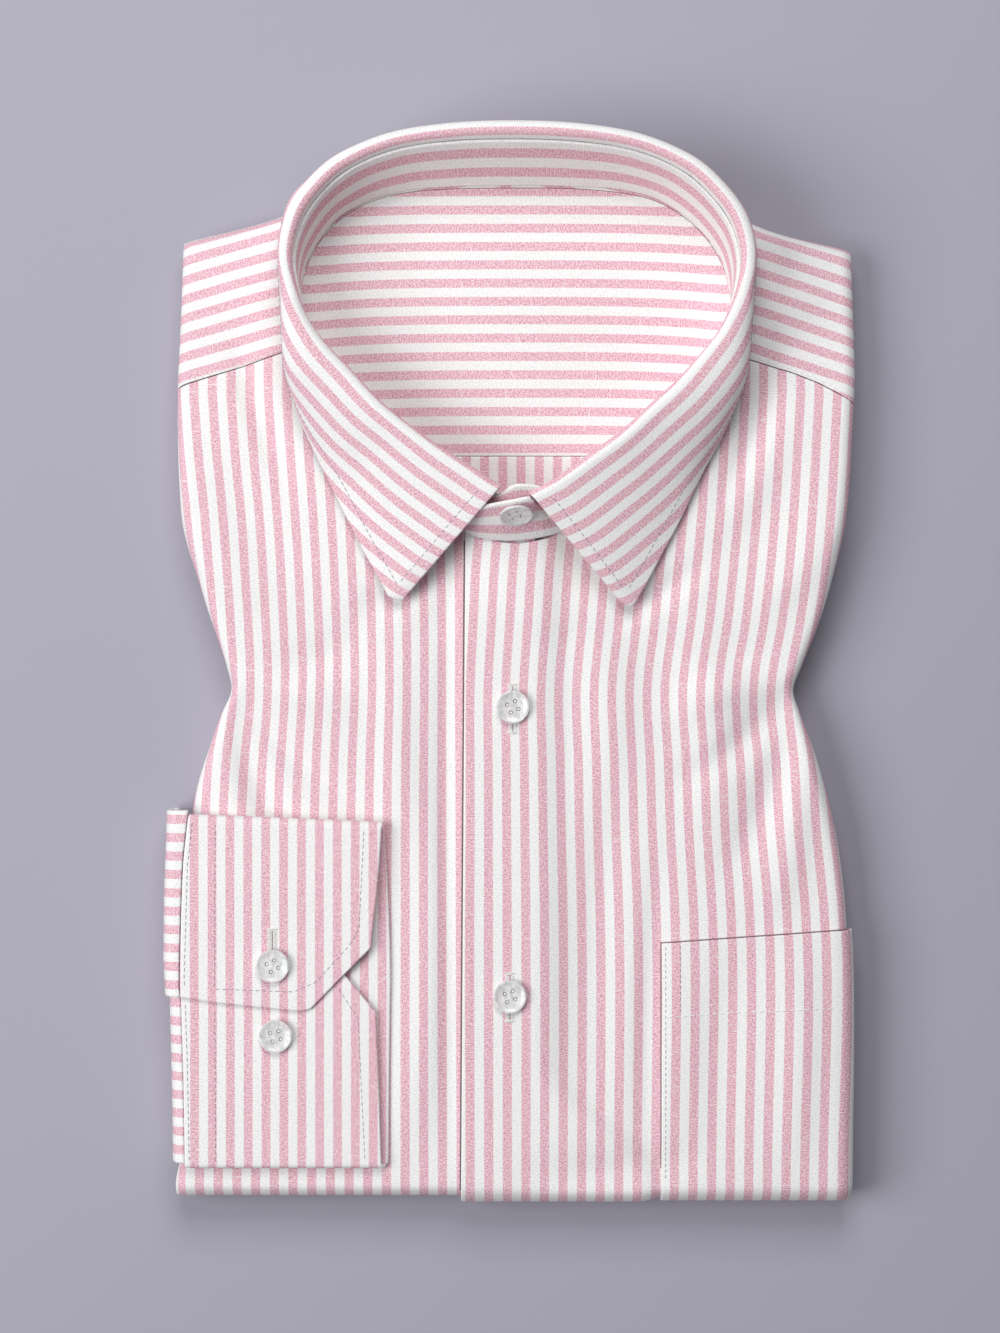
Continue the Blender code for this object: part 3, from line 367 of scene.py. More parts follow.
def body_point(across, along, out=0.0):
    """Points of the upper face, or out from it. Both measures run on the cloth, over the folds."""
    tail_start = TAIL_EDGE + TAIL_ROLL[0]
    shoulder_start = shoulder_edge(across) - SHOULDER_ROLL[0]
    tail_reach, tail_drop = roll(tail_start - along, TAIL_ROLL, out)
    shoulder_reach, shoulder_drop = roll(along - shoulder_start, SHOULDER_ROLL, out)
    y = np.clip(along, tail_start, shoulder_start) - tail_reach + shoulder_reach
    left_start = left_edge(y) + SIDE_ROLL[0]
    right_start = right_edge(y) - SIDE_ROLL[0]
    left_reach, left_drop = roll(left_start - across, SIDE_ROLL, out)
    right_reach, right_drop = roll(across - right_start, SIDE_ROLL, out)
    x = np.clip(across, left_start, right_start) - left_reach + right_reach
    flat = np.exp(-(tail_drop + shoulder_drop + left_drop + right_drop))
    z = upper_height(x, y) + out + crease_height(x, y) * flat
    for drop in (tail_drop, shoulder_drop, left_drop, right_drop):
        z = z * (1 - drop / (SLAB + out))
    return np.stack([x, y, z], axis=-1)


def hollow_height(x, y):
    """Height of the shirt's inside, which dips from the neck seam to the back."""
    angle = np.arctan2(y - NECK_MIDDLE[1], x - NECK_MIDDLE[0])
    out = np.hypot(x - NECK_MIDDLE[0], y - NECK_MIDDLE[1])
    rim_radius = neck_radius(angle)
    rim_x = NECK_MIDDLE[0] + rim_radius * np.cos(angle)
    rim_y = NECK_MIDDLE[1] + rim_radius * np.sin(angle)
    rim = upper_height(rim_x, rim_y) - PLY - 2 * SEAM_GAP
    bulge = HOLLOW_BULGE * np.exp(-(out / HOLLOW_BULGE_WIDTH) ** 2)
    return rim + (HOLLOW_FLOOR - rim) * ease((rim_radius - out) / HOLLOW_SLOPE) + bulge


print("height at the second button:", round(float(upper_height(0.0, -14.0)), 2), "mm")

# %% [markdown]
# ## From a grid of points to a ply of cloth
#
# A sewn edge is never a knife edge: the cloth turns back on itself there. So each ply is a
# grid of points on its upper side and another on its lower side, and near the rim both come
# together in a half round. Solidify and Bevel could do this on a flat sheet, but they would
# spoil the yarn coordinates, which say for each point where it lies on the woven cloth: how
# far across the stripes, and how far along them, in millimetres.

# %% Grid helpers
RIM_STEPS = (0.0, 0.12, 0.4, 0.8, 1.4)     # places near a rim, in half thicknesses
PITCH = 1.7                                # distance between points elsewhere
RIM_CLEAR = 0.2                            # the first of those is this share of it past the rim's


def places(start, end, thickness=SHELL, pitch=PITCH):
    """Places from start to end, about a pitch apart and closer together at both rims."""
    length = abs(end - start)
    rim = np.array(RIM_STEPS) * thickness / 2
    inner = np.linspace(0.0, length, max(3, int(round(length / pitch))) + 1)
    clear = rim[-1] + RIM_CLEAR * pitch
    inner = inner[(inner > clear) & (inner < length - clear)]
    at = np.concatenate([rim, inner, length - rim[::-1]])
    return start + math.copysign(1.0, end - start) * at


def places_on(start, end):
    """Places from a rim to an end past which the cloth runs on."""
    at = places(start, end)[:-len(RIM_STEPS) + 1]
    at[-1] = end
    return at


def run_along(line):
    """Distance along one line of points, from its start."""
    step = np.linalg.norm(np.diff(line, axis=0), axis=1)
    return np.insert(np.cumsum(step), 0, 0.0)


def points_at(at, keys, line):
    """Points between those of a line, where its keys reach the values asked for."""
    return np.stack([np.interp(at, keys, values) for values in line.T], axis=-1)


def line_lengths(grid, axis):
    """Distance along a grid's lines, from their start."""
    step = np.linalg.norm(np.diff(grid, axis=axis), axis=2)
    return np.insert(np.cumsum(step, axis=axis), 0, 0.0, axis=axis)


def rim_share(grid, radius):
    """How thick a ply is, from nothing at its rim to full inside."""
    down = line_lengths(grid, 0)
    over = line_lengths(grid, 1)
    nearest = np.minimum(np.minimum(down, down[-1:] - down), np.minimum(over, over[:, -1:] - over))
    inside = np.clip(nearest / radius, 0.0, 1.0)
    return np.sqrt(1 - (1 - inside) ** 2)[..., None]


def moved_out(grid, distance):
    """A grid of points moved along its normals."""
    down = np.gradient(grid, axis=0)
    over = np.gradient(grid, axis=1)
    normal = np.cross(down, over)
    normal /= np.linalg.norm(normal, axis=2, keepdims=True)
    return grid + normal * distance


def add_piece(name, points, faces, yarn, surface):
    """A mesh in millimetres becomes a piece, with its place on the woven cloth as a UV map."""
    mesh = bpy.data.meshes.new(name)
    mesh.from_pydata((np.asarray(points) * MM).tolist(), [], faces)
    shape = bmesh.new()
    shape.from_mesh(mesh)
    if shape.calc_volume(signed=True) < 0:
        bmesh.ops.reverse_faces(shape, faces=shape.faces)
    shape.to_mesh(mesh)
    shape.free()
    corners = np.empty(len(mesh.loops), int)
    mesh.loops.foreach_get("vertex_index", corners)
    layer = mesh.uv_layers.new(name="yarn")
    layer.data.foreach_set("uv", np.asarray(yarn, float)[corners].ravel())
    mesh.shade_smooth()
    mesh.materials.append(surface)
    piece = bpy.data.objects.new(name, mesh)
    bpy.context.collection.objects.link(piece)
    return piece


def ply(name, upper, lower, yarn, surface, thickness=SHELL):
    """A closed ply between two grids of points, with a half-round rim."""
    rows, columns = upper.shape[:2]
    middle = (upper + lower) / 2
    half = (upper - lower) / 2 * rim_share(middle, thickness / 2)
    top = middle + half
    under = (middle - half)[1:-1, 1:-1]
    number = np.arange(rows * columns).reshape(rows, columns)
    below = number.copy()
    below[1:-1, 1:-1] = rows * columns + np.arange(under.shape[0] * under.shape[1]).reshape(
        rows - 2, columns - 2)
    faces = []
    for grid, order in ((number, (0, 1, 2, 3)), (below, (3, 2, 1, 0))):
        corners = np.stack([grid[:-1, :-1], grid[1:, :-1], grid[1:, 1:], grid[:-1, 1:]], axis=-1)
        faces += corners.reshape(-1, 4)[:, order].tolist()
    points = np.concatenate([top.reshape(-1, 3), under.reshape(-1, 3)])
    yarns = np.concatenate([yarn.reshape(-1, 2), yarn[1:-1, 1:-1].reshape(-1, 2)])
    return add_piece(name, points, faces, yarns, surface)


print("points of a 100 mm line:", len(places(0.0, 100.0)))

# %% [markdown]
# ## Colours and nodes
#
# Colours are written as sRGB hex values, the way a paint program shows them, and turned into
# the linear values that a renderer works with. One helper adds a node with its settings and
# links, so that a material reads from top to bottom like a recipe.

# %% Colour and node helpers
def colour(code):
    """An sRGB hex colour as linear red, green, blue and alpha."""
    values = [int(code[i:i + 2], 16) / 255 for i in (1, 3, 5)]
    linear = [v / 12.92 if v <= 0.04045 else ((v + 0.055) / 1.055) ** 2.4 for v in values]
    return (*linear, 1.0)


def new_material(name):
    """An empty material and its node tree."""
    surface = bpy.data.materials.new(name)
    surface.use_nodes = True
    surface.node_tree.nodes.clear()
    return surface, surface.node_tree


def node(tree, kind, settings=None, **inputs):
    """A node with its settings; an input is a value, or another node's output to link."""
    made = tree.nodes.new(kind)
    for name, value in (settings or {}).items():
        setattr(made, name, value)
    for name, value in inputs.items():
        key = int(name[1:]) if name[1:].isdigit() else name.replace("_", " ")
        socket = made.inputs[key]
        if isinstance(value, bpy.types.NodeSocket):
            tree.links.new(value, socket)
        else:
            socket.default_value = value
    return made


def mixed(tree, share, first, second, how="MIX"):
    """Output of a node that mixes two colours."""
    settings = {"data_type": "RGBA", "blend_type": how}
    return node(tree, "ShaderNodeMix", settings, Factor=share, _6=first, _7=second).outputs[2]


def ranged(tree, value, low, high, start, end, how="LINEAR"):
    """Output of a node that turns values from low to high into values from start to end."""
    return node(tree, "ShaderNodeMapRange", {"interpolation_type": how}, _0=value, _1=low,
                _2=high, _3=start, _4=end).outputs[0]


print("stripe pink as linear light:", [round(v, 3) for v in colour("#dd9db0")[:3]])

# %% [markdown]
# ## Striped chambray
#
# The shirt is a plain-weave cotton. Its warp yarns run along the stripes, pink for 3.2 mm
# and white for 3.3 mm, and every weft yarn is white. A pink stripe is therefore half pink
# and half white at the scale of single yarns, which the eye reads as a soft, slightly
# streaky rose. Cotton is matt, with a little bloom at grazing angles from its loose fibres.
#
# The stripe is worked out from the first yarn coordinate. Noise that is stretched across the
# stripes, as the weft is, breaks it up, with a finer fleck for single yarns and a few pale
# slubs where the weft is thicker. Single yarns are 0.18 mm thick, too fine to show from
# here, so they are drawn coarser.

# %% Cotton material
STRIPE_PERIOD = 6.5
STRIPE_PINK = 3.2
STRIPE_BLUR = 0.16     # half the width over which pink turns to white
STRIPE_WANDER = 0.22   # how far a stripe's edge wanders
YARN = 0.45            # yarns as drawn, in millimetres
FLECK_SHARE = 1.4      # weight of the fleck beside the weft's streaks
SOFT_SHARE = 2.2       # weight of the soft unevenness in the relief


def cotton(name, white, pink, deep, lift):
    """Yarn-dyed cotton: white ground, pink warp, and its deeper tone between the yarns."""
    surface, tree = new_material(name)
    yarn = node(tree, "ShaderNodeUVMap", {"uv_map": "yarn"}).outputs["UV"]
    apart = node(tree, "ShaderNodeSeparateXYZ", Vector=yarn)
    across = apart.outputs["X"]

    ragged = node(tree, "ShaderNodeMapping", Vector=yarn, Scale=(0.1, 2.4, 1.0))
    edge_noise = node(tree, "ShaderNodeTexNoise", Vector=ragged.outputs[0], Scale=1.0, Detail=2.0)
    wander = node(tree, "ShaderNodeMath", {"operation": "MULTIPLY_ADD"},
                  _0=edge_noise.outputs["Fac"], _1=STRIPE_WANDER, _2=across)
    wrapped = node(tree, "ShaderNodeMath", {"operation": "WRAP"}, _0=wander.outputs[0],
                   _1=STRIPE_PERIOD / 2, _2=-STRIPE_PERIOD / 2)
    off_centre = node(tree, "ShaderNodeMath", {"operation": "ABSOLUTE"}, _0=wrapped.outputs[0])
    stripe = ranged(tree, off_centre.outputs[0], STRIPE_PINK / 2 - STRIPE_BLUR,
                    STRIPE_PINK / 2 + STRIPE_BLUR, 1.0, 0.0, how="SMOOTHSTEP")

    weft = node(tree, "ShaderNodeMapping", Vector=yarn, Scale=(0.8, 1.0 / YARN, 1.0))
    weft_noise = node(tree, "ShaderNodeTexNoise", Vector=weft.outputs[0], Scale=1.0, Detail=1.0)
    fleck = node(tree, "ShaderNodeTexNoise", Vector=yarn, Scale=1.0 / YARN, Detail=0.0)
    mottle = node(tree, "ShaderNodeMath", {"operation": "MULTIPLY_ADD"}, _0=fleck.outputs["Fac"],
                  _1=FLECK_SHARE, _2=weft_noise.outputs["Fac"])
    tone = ranged(tree, mottle.outputs[0], 0.92, 1.5, 0.0, 1.0)
    rose = mixed(tree, tone, colour(deep), colour(pink))
    ground = ranged(tree, mottle.outputs[0], 0.9, 1.3, 0.84, 1.0)
    bleached = mixed(tree, 1.0, colour(white), ground, how="MULTIPLY")

    slub = node(tree, "ShaderNodeMapping", Vector=yarn, Scale=(0.16, 1.9, 1.0))
    slub_noise = node(tree, "ShaderNodeTexNoise", Vector=slub.outputs[0], Scale=1.0, Detail=1.0)
    slub_line = ranged(tree, slub_noise.outputs["Fac"], 0.66, 0.73, 0.0, 0.6)
    striped = mixed(tree, stripe, bleached, rose)
    slubbed = mixed(tree, slub_line, striped, colour(white))

    soft = node(tree, "ShaderNodeTexNoise", Vector=yarn, Scale=0.09, Detail=3.0)
    relief = node(tree, "ShaderNodeMath", {"operation": "MULTIPLY_ADD"}, _0=soft.outputs["Fac"],
                  _1=SOFT_SHARE, _2=mottle.outputs[0])
    bump = node(tree, "ShaderNodeBump", Height=relief.outputs[0], Strength=0.5, Distance=lift * MM)
    shader = node(tree, "ShaderNodeBsdfPrincipled", Base_Color=slubbed, Roughness=0.86,
                  Normal=bump.outputs[0])
    shader.inputs["IOR"].default_value = 1.45
    shader.inputs["Specular IOR Level"].default_value = 0.25
    shader.inputs["Sheen Weight"].default_value = 0.06
    shader.inputs["Sheen Roughness"].default_value = 0.5
    node(tree, "ShaderNodeOutputMaterial", Surface=shader.outputs[0])
    return surface


body_cotton = cotton("striped_chambray_cotton", "#f7f6f5", "#f7d8e0", "#d398aa", 0.12)
print("cotton:", body_cotton.name)

# %% [markdown]
# ## Stripes on the fronts
#
# The stripes follow the grain, but the folded cloth doesn't lie square: it is drawn in at the
# waist, so the stripes crowd together there and spread out towards the tail. Two small
# tables give, for heights up the shirt, where the first pink stripe beside the placket lies
# and how far apart the stripes are. They turn a place on the shirt into a yarn coordinate.

# %% Yarn coordinates of the fronts
LEFT_STRIPES = (       # the front on the left of the placket
    # y, first pink stripe, spacing
    (-180.0, -23.4, 6.545),
    (-100.0, -23.6, 6.42),
    (-33.0, -23.7, 6.286),
    (-8.0, -23.7, 6.09),
    (16.0, -23.7, 6.16),
    (50.0, -24.4, 6.3),
    (76.0, -25.3, 6.44),
    (95.0, -26.0, 6.5),
)
RIGHT_STRIPES = (      # and the one on its right
    # y, first pink stripe, spacing
    (-180.0, -13.7, 6.49),
    (-82.0, -13.85, 6.51),
    (-57.0, -13.7, 6.37),
    (-33.0, -13.7, 6.3),
    (-8.0, -13.7, 6.19),
    (16.0, -12.6, 6.356),
    (37.0, -11.5, 6.44),
    (46.0, -10.6, 6.44),
    (95.0, -7.5, 6.44),
)


def front_yarn(x, y, table):
    """Yarn coordinates at places on a front."""
    first = curve(column(table, 0), column(table, 1), y)
    spacing = curve(column(table, 0), column(table, 2), y)
    return (x - first) * STRIPE_PERIOD / spacing


left_width = LEFT_STRIPES[0][1] - float(left_edge(LEFT_STRIPES[0][0]))
print("stripes over the left front:", round(left_width / LEFT_STRIPES[0][2], 1))

# %% [markdown]
# ## The two fronts
#
# Each front is one ply that starts at the yoke seam and the neck, runs down the shirt and
# turns under at its side and at the tail. The upper one lies on the other along the placket,
# one ply higher, and comes down to the body again beyond it. A plane pushed about with
# proportional editing could look the same from above, but here the points are worked out on
# the cloth, so that the cloth keeps its length where it turns over a fold.

# %% Fronts
TURN_PITCH = 1.1       # distance between points round a fold
TAIL_STEP_SHIFT = 36.0         # at the tail the placket's step lies under the pocket's edge
TAIL_STEP_RUN = (-140.0, -180.0)
PLACKET_HEM = 1.1      # the placket is folded under, so its edge is thicker
PLACKET_HEM_RUN = (6.0, 3.0)           # across the shirt, from none of it to all of it
HEM_TAIL_RUN = (8.0, 12.0)             # and up from the tail
TAIL_PRESSED = 0.5     # where it turns under the tail, its lift is pressed down by this share
TAIL_PRESSED_RUN = (8.0, 20.0)
PLACKET_LEAN = 1.4     # towards the collar the placket's edge leans to the right
PLACKET_LEAN_WIDTH = 26.0
PLACKET_LEAN_RUN = (-180.0, 40.0)      # from none of it to all of it
PLACKET_PROUD = 0.7    # the folded edge springs up a little
PLACKET_LIFT = PLY + SEAM_GAP + PLACKET_PROUD
BAND_STEP_WIDTH = 8.0  # width over which the front's top clears the band's upper end
SIDE_TOPS = (96.0, 92.0)       # where the yoke seam meets the left and the right side fold
FRONT_LENGTH = 270.0   # about how long a front is
COLUMNS_STRAIGHT = (70.0, 100.0)       # the columns bend with the sides below, run level above


def turn_places(shape, share=1.0):
    """Places on the cloth round a fold, from its start to its rim."""
    return places(0.0, roll_length(shape, share), pitch=TURN_PITCH)[len(RIM_STEPS) - 1:]


def corner_steps(steps, past_side):
    """Steps round a tall fold, fewer of them used up where the side fold turns as well."""
    return steps * (1 - CORNER_DRAW * past_side / roll_length(SIDE_ROLL))


def placket_lean(y):
    """How far the placket's edge leans to the right at a height up the shirt."""
    start, end = PLACKET_LEAN_RUN
    return PLACKET_LEAN * np.clip((y - start) / (end - start), 0.0, 1.0)


def front_cloth(left_side):
    """Cloth coordinates of a front: rows run down the shirt, columns across it."""
    inner = PLACKET_UNDER if left_side else PLACKET_EDGE
    side = -1.0 if left_side else 1.0
    reference_y = SIDE_TOPS[0] if left_side else SIDE_TOPS[1]
    edge_line = left_edge if left_side else right_edge
    reference = float(edge_line(reference_y)) - side * SIDE_ROLL[0]
    flat_columns = places_on(inner, reference)
    past_columns = turn_places(SIDE_ROLL)[1:]
    tail_steps = turn_places(TAIL_ROLL)[1:]
    bottom = TAIL_EDGE + TAIL_ROLL[0]
    shares = places_on(0.0, FRONT_LENGTH) / FRONT_LENGTH
    grid = []
    for x in flat_columns:
        top = float(yoke_seam(x)) - SEAM_GAP
        if NECK_LEFT < x < NECK_RIGHT:
            top = min(top, float(neck_arc(x, front=True)))
        if not left_side:
            top -= (BAND + 2 * SEAM_GAP) * float(ease((PLACKET_STEP - x) / BAND_STEP_WIDTH))
        along = top + (bottom - top) * shares
        along = np.concatenate([along, bottom - tail_steps])
        start = edge_line(along) - side * SIDE_ROLL[0]
        across = inner + (start - inner) * (x - inner) / (reference - inner)
        across = across + (x - across) * between(along, *COLUMNS_STRAIGHT)
        if not left_side:
            across = across + placket_lean(along) * ease(1 - (x - inner) / PLACKET_LEAN_WIDTH)
        grid.append((across, along))
    for step in past_columns:
        top = float(yoke_seam(reference + side * step)) - SEAM_GAP
        along = np.concatenate([top + (bottom - top) * shares, bottom - corner_steps(tail_steps, step)])
        y = np.clip(along, TAIL_EDGE, None)
        grid.append((edge_line(y) - side * SIDE_ROLL[0] + side * step, along))
    if left_side:
        grid = grid[::-1]
    return np.array(grid).transpose(1, 2, 0)


def cloth_piece(name, cloth, lift, stripes, surface, extra=0.0):
    """A ply on the body's upper face, from where its points lie on the cloth."""
    across, along = cloth
    yarn = np.stack([front_yarn(across, along, stripes), along], axis=-1)
    upper = body_point(across, along, lift)
    lower = body_point(across, along, lift - SHELL - extra)
    piece = ply(name, upper, lower, yarn, surface)
    print(name, "faces:", len(piece.data.polygons))
    return piece


def stands_for(piece, *nodes):
    """The piece takes the place of plain solids, and moves with the shirt."""
    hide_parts(*nodes)
    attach(piece, "root")


front_right = cloth_piece("front_right_cloth", front_cloth(True), 0.0, LEFT_STRIPES, body_cotton)
stands_for(front_right, "front_right")
over = front_cloth(False)
step_at = PLACKET_STEP + TAIL_STEP_SHIFT * between(over[1], *TAIL_STEP_RUN)
lift = PLACKET_LIFT * ease((step_at - over[0]) / (PLACKET_STEP - PLACKET_UNDER))
turned = TAIL_EDGE + TAIL_ROLL[0] - over[1]
lift = lift * (1 - TAIL_PRESSED * between(turned, *TAIL_PRESSED_RUN))
hem = PLACKET_HEM * between(over[0], *PLACKET_HEM_RUN)
hem = hem * between(over[1] - TAIL_EDGE, *HEM_TAIL_RUN)
front_left = cloth_piece("front_left_cloth", over, lift, RIGHT_STRIPES, body_cotton, hem)
stands_for(front_left, "front_left")

# %% [markdown]
# ## The yoke
#
# The yoke covers both shoulders and is cut from two halves, joined behind the collar, so its
# stripes meet there in a shallow V and run level with the front seams. It turns under over
# the shoulder fold. What shows of it is a triangle on either side of the collar.

# %% Yoke
YOKE_HALVES = (        # left and right half: slope of its stripes, and a place on a pink one
    # slope, x, y
    (0.287, -108.6, 123.6),
    (-0.335, 98.2, 127.8),
)
YOKE_SIDE_BLEND = 20.0         # width beside the side fold where the cloth follows its bends
YOKE_MIDDLE_Y = 110.0          # its columns are laid out at this height
YOKE_DEPTH = 40.0              # about how far it reaches down from the shoulder fold


def yoke_yarn(x, y):
    """Yarn coordinates of the yoke's two halves."""
    halves = []
    for slope, pink_x, pink_y in YOKE_HALVES:
        scale = math.sqrt(1 + slope ** 2)
        halves.append(np.stack([(y - pink_y - slope * (x - pink_x)) / scale, x * scale], axis=-1))
    return np.where((x < 0.0)[..., None], halves[0], halves[1])


def yoke_cloth():
    """Cloth coordinates of the yoke, from its far edge down to the seam or the neck."""
    left = float(left_edge(YOKE_MIDDLE_Y)) + SIDE_ROLL[0]
    right = float(right_edge(YOKE_MIDDLE_Y)) - SIDE_ROLL[0]
    flat = np.linspace(left, right, int((right - left) / PITCH))
    past = turn_places(SIDE_ROLL)[1:]
    columns = [(left, -step) for step in past[::-1]]
    columns += [(x, 0.0) for x in flat]
    columns += [(right, step) for step in past]
    over_steps = turn_places(SHOULDER_ROLL)[1:]
    shares = places(0.0, YOKE_DEPTH)[len(RIM_STEPS) - 1:] / YOKE_DEPTH
    shares[0] = 0.0
    grid = []
    for x, step in columns:
        low = float(yoke_seam(x + step))
        if NECK_LEFT < x < NECK_RIGHT:
            low = max(low, float(neck_arc(x, front=False)))
        high = float(shoulder_edge(x + step)) - SHOULDER_ROLL[0]
        flat_part = high + (low - high) * shares
        along = np.concatenate([high + corner_steps(over_steps, abs(step))[::-1], flat_part])
        y = np.clip(along, None, high)
        left_bend = left_edge(y) + SIDE_ROLL[0] - left
        right_bend = right_edge(y) - SIDE_ROLL[0] - right
        across = x + step + left_bend * ease(1 - (x - left) / YOKE_SIDE_BLEND)
        across += right_bend * ease(1 - (right - x) / YOKE_SIDE_BLEND)
        grid.append((across, along))
    return np.array(grid).transpose(1, 2, 0)


across, along = yoke_cloth()
yoke = ply("yoke_cloth", body_point(across, along), body_point(across, along, -SHELL),
           yoke_yarn(across, along), body_cotton)
stands_for(yoke, "yoke")
print("yoke faces:", len(yoke.data.polygons))

# %% [markdown]
# ## Inside the neck
#
# Through the open neck the inner yoke shows, and a little of the back below its seam. Both
# bulge softly, and their stripes cross: those of the yoke run from side to side, those of
# the back run down.

# %% Inner yoke and back
LINING_FIRST = 167.2           # first pink stripe of the inner yoke, at its middle
LINING_SPACING = 6.457
LINING_DROOP = 2.0             # how much lower the stripes lie beside the collar
LINING_HALF = 70.0             # half the width of the neck
LINING_DEPTH = 80.0            # about how long its longest column is
LINING_ROWS = 60
LINING_SIDE = 0.5              # it stops this far short of the neck's sides
BACK_FIRST = -8.7
BACK_SPACING = 6.406
BACK_ROWS = 24
BACK_SIDE = 2.0
BACK_GAP = 0.12                # between it and the lining's seam


def hollow_points(x_first, x_last, low_limit, high_limit, rows):
    """Plan of the shirt's inside between two heights up the shirt."""
    grid = []
    for x in places(x_first, x_last):
        high = float(neck_arc(x, front=False)) - NECK_CLEAR if high_limit is None else high_limit
        low = max(float(neck_arc(x, front=True)) + NECK_CLEAR, low_limit)
        shares = places(0.0, 1.0, thickness=SHELL / LINING_DEPTH, pitch=1.0 / rows)
        y = high + (low - high) * shares
        grid.append(np.stack([np.full(len(y), x), y], axis=-1))
    return np.array(grid).transpose(1, 0, 2)


def hollow_ply(name, plan, yarn, solid):
    """A ply on the shirt's inside, which comes up a little along the neck seam."""
    x, y = plan[..., 0], plan[..., 1]
    angle = np.arctan2(y - NECK_MIDDLE[1], x - NECK_MIDDLE[0])
    inside = neck_radius(angle) - np.hypot(x - NECK_MIDDLE[0], y - NECK_MIDDLE[1])
    rise = LINING_RISE * ease(1 - inside / LINING_RISE_WIDTH)
    upper = np.stack([x, y, hollow_height(x, y) + rise], axis=-1)
    piece = ply(name, upper, moved_out(upper, -SHELL), yarn, body_cotton)
    stands_for(piece, solid)
    print(name, "faces:", len(piece.data.polygons))
    return piece


plan = hollow_points(NECK_LEFT + LINING_SIDE, NECK_RIGHT - LINING_SIDE, LINING_SEAM, None, LINING_ROWS)
droop = LINING_DROOP * ((plan[..., 0] - NECK_MIDDLE[0]) / LINING_HALF) ** 4
yarn = np.stack([(plan[..., 1] - LINING_FIRST + droop) * STRIPE_PERIOD / LINING_SPACING,
                 plan[..., 0]], axis=-1)
lining = hollow_ply("yoke_lining_cloth", plan, yarn, "yoke_lining")

low_part = NECK_X[NECK_Y < LINING_SEAM]
back_top = LINING_SEAM - BACK_GAP
plan = hollow_points(low_part.min() + BACK_SIDE, low_part.max() - BACK_SIDE, 0.0, back_top, BACK_ROWS)
yarn = np.stack([(plan[..., 0] - BACK_FIRST) * STRIPE_PERIOD / BACK_SPACING, plan[..., 1]], axis=-1)
back = hollow_ply("back_panel_cloth", plan, yarn, "back_panel")

# %% [markdown]
# ## The layers underneath
#
# Under the fronts lie the sleeves, the side panels and the back, folded over each other. From
# outside only their edges show, as rounded plies between the wrapped front and the floor. One
# closed solid stands for all of them: its outline repeats at several heights, drawn in where
# two plies meet and out where one turns round. Its underside is flat, because it rests there.

# %% Folded layers
CORE_EDGES = (         # how the layers end, from the flat top down to the floor
    # side inset, side z, tail inset, tail z, shoulder inset, shoulder z
    (9.0, 18.0, 10.0, 18.0, 5.4, 17.6),
    (4.8, 17.9, 5.4, 17.8, 4.3, 17.4),
    (2.7, 17.0, 3.2, 16.6, 3.0, 16.8),
    (2.0, 15.2, 2.3, 14.2, 2.3, 15.3),
    (2.7, 13.5, 2.0, 10.7, 2.0, 13.0),
    (3.3, 12.0, 2.4, 7.4, 2.7, 9.8),
    (1.7, 11.3, 3.6, 5.0, 4.2, 7.7),
    (0.8, 10.0, 4.4, 4.5, 2.6, 6.9),
    (0.6, 8.6, 5.0, 4.1, 1.9, 5.6),
    (1.5, 7.2, 5.4, 3.7, 2.3, 4.5),
    (0.6, 5.9, 5.6, 3.3, 1.3, 3.9),
    (0.5, 4.4, 5.7, 2.9, 1.2, 3.2),
    (1.3, 3.2, 6.2, 2.2, 2.0, 2.3),
    (0.8, 2.1, 6.0, 1.4, 1.6, 1.5),
    (1.4, 0.9, 6.4, 0.7, 2.0, 0.7),
    (3.7, 0.0, 7.2, 0.0, 4.0, 0.0),
)
CORE_CORNER = 3.0      # the layers draw in at the tail's corners
CORE_PITCH = 3.0
CORE_SIDES = (-175.0, 132.0)           # ends of the straight columns and rows of its border
CORE_TAIL = (-101.0, 101.0)
CORE_SHOULDER = (-97.0, 103.0)
CORE_CORNERS_X = (-115.0, 120.0)
CREASE_ROOM = 1.2      # further below the fronts, clear of their deepest creases
HOLLOW_RINGS = (0.8, 0.45, 0.2)        # below the neck, as shares of the way in from its seam
NECK_MARGIN = 1.6      # the flat top starts this far outside the neck seam
TOP_RINGS = (0.0, 0.25, 0.5, 0.75)     # from there to the border
FLOOR_RINGS = (0.6, 0.2)


def core_border():
    """Points round the folded layers: the side each belongs to, and its place."""
    rows = np.linspace(*CORE_SIDES, int((CORE_SIDES[1] - CORE_SIDES[0]) / CORE_PITCH))
    tail = np.linspace(*CORE_TAIL, int((CORE_TAIL[1] - CORE_TAIL[0]) / CORE_PITCH))
    border = [("tail left", 0.0, 0.0)]
    border += [("left", 0.0, y) for y in rows]
    border += [("shoulder left", 0.0, 0.0)]
    border += [("shoulder", x, 0.0) for x in np.linspace(*CORE_SHOULDER, len(tail))]
    border += [("shoulder right", 0.0, 0.0)]
    border += [("right", 0.0, y) for y in rows[::-1]]
    border += [("tail right", 0.0, 0.0)]
    border += [("tail", x, 0.0) for x in tail[::-1]]
    return border


def core_ring(border, row):
    """One level of the folded layers' outline."""
    ring = []
    for kind, x, y in border:
        side_in, side_z, tail_in, tail_z, shoulder_in, shoulder_z = row
        scale = 1.0
        if "shoulder" in kind:
            near_x = dict(zip(("shoulder left", "shoulder right"), CORE_CORNERS_X)).get(kind, x)
            y = float(shoulder_edge(near_x)) - shoulder_in
            scale = shoulder_z / SLAB
        if "tail" in kind:
            y = TAIL_EDGE + tail_in
            scale = tail_z / SLAB
        if kind in ("tail left", "tail right"):
            side_in += CORE_CORNER
            y += CORE_CORNER
        if "left" in kind:
            x = float(left_edge(y)) + side_in
        if "right" in kind:
            x = float(right_edge(y)) - side_in
        if kind in ("left", "right"):
            scale = side_z / SLAB
        elif "left" in kind or "right" in kind:
            scale = scale * side_z / SLAB
        ring.append((x, y, float(upper_height(x, y)) * scale))
    return np.array(ring)


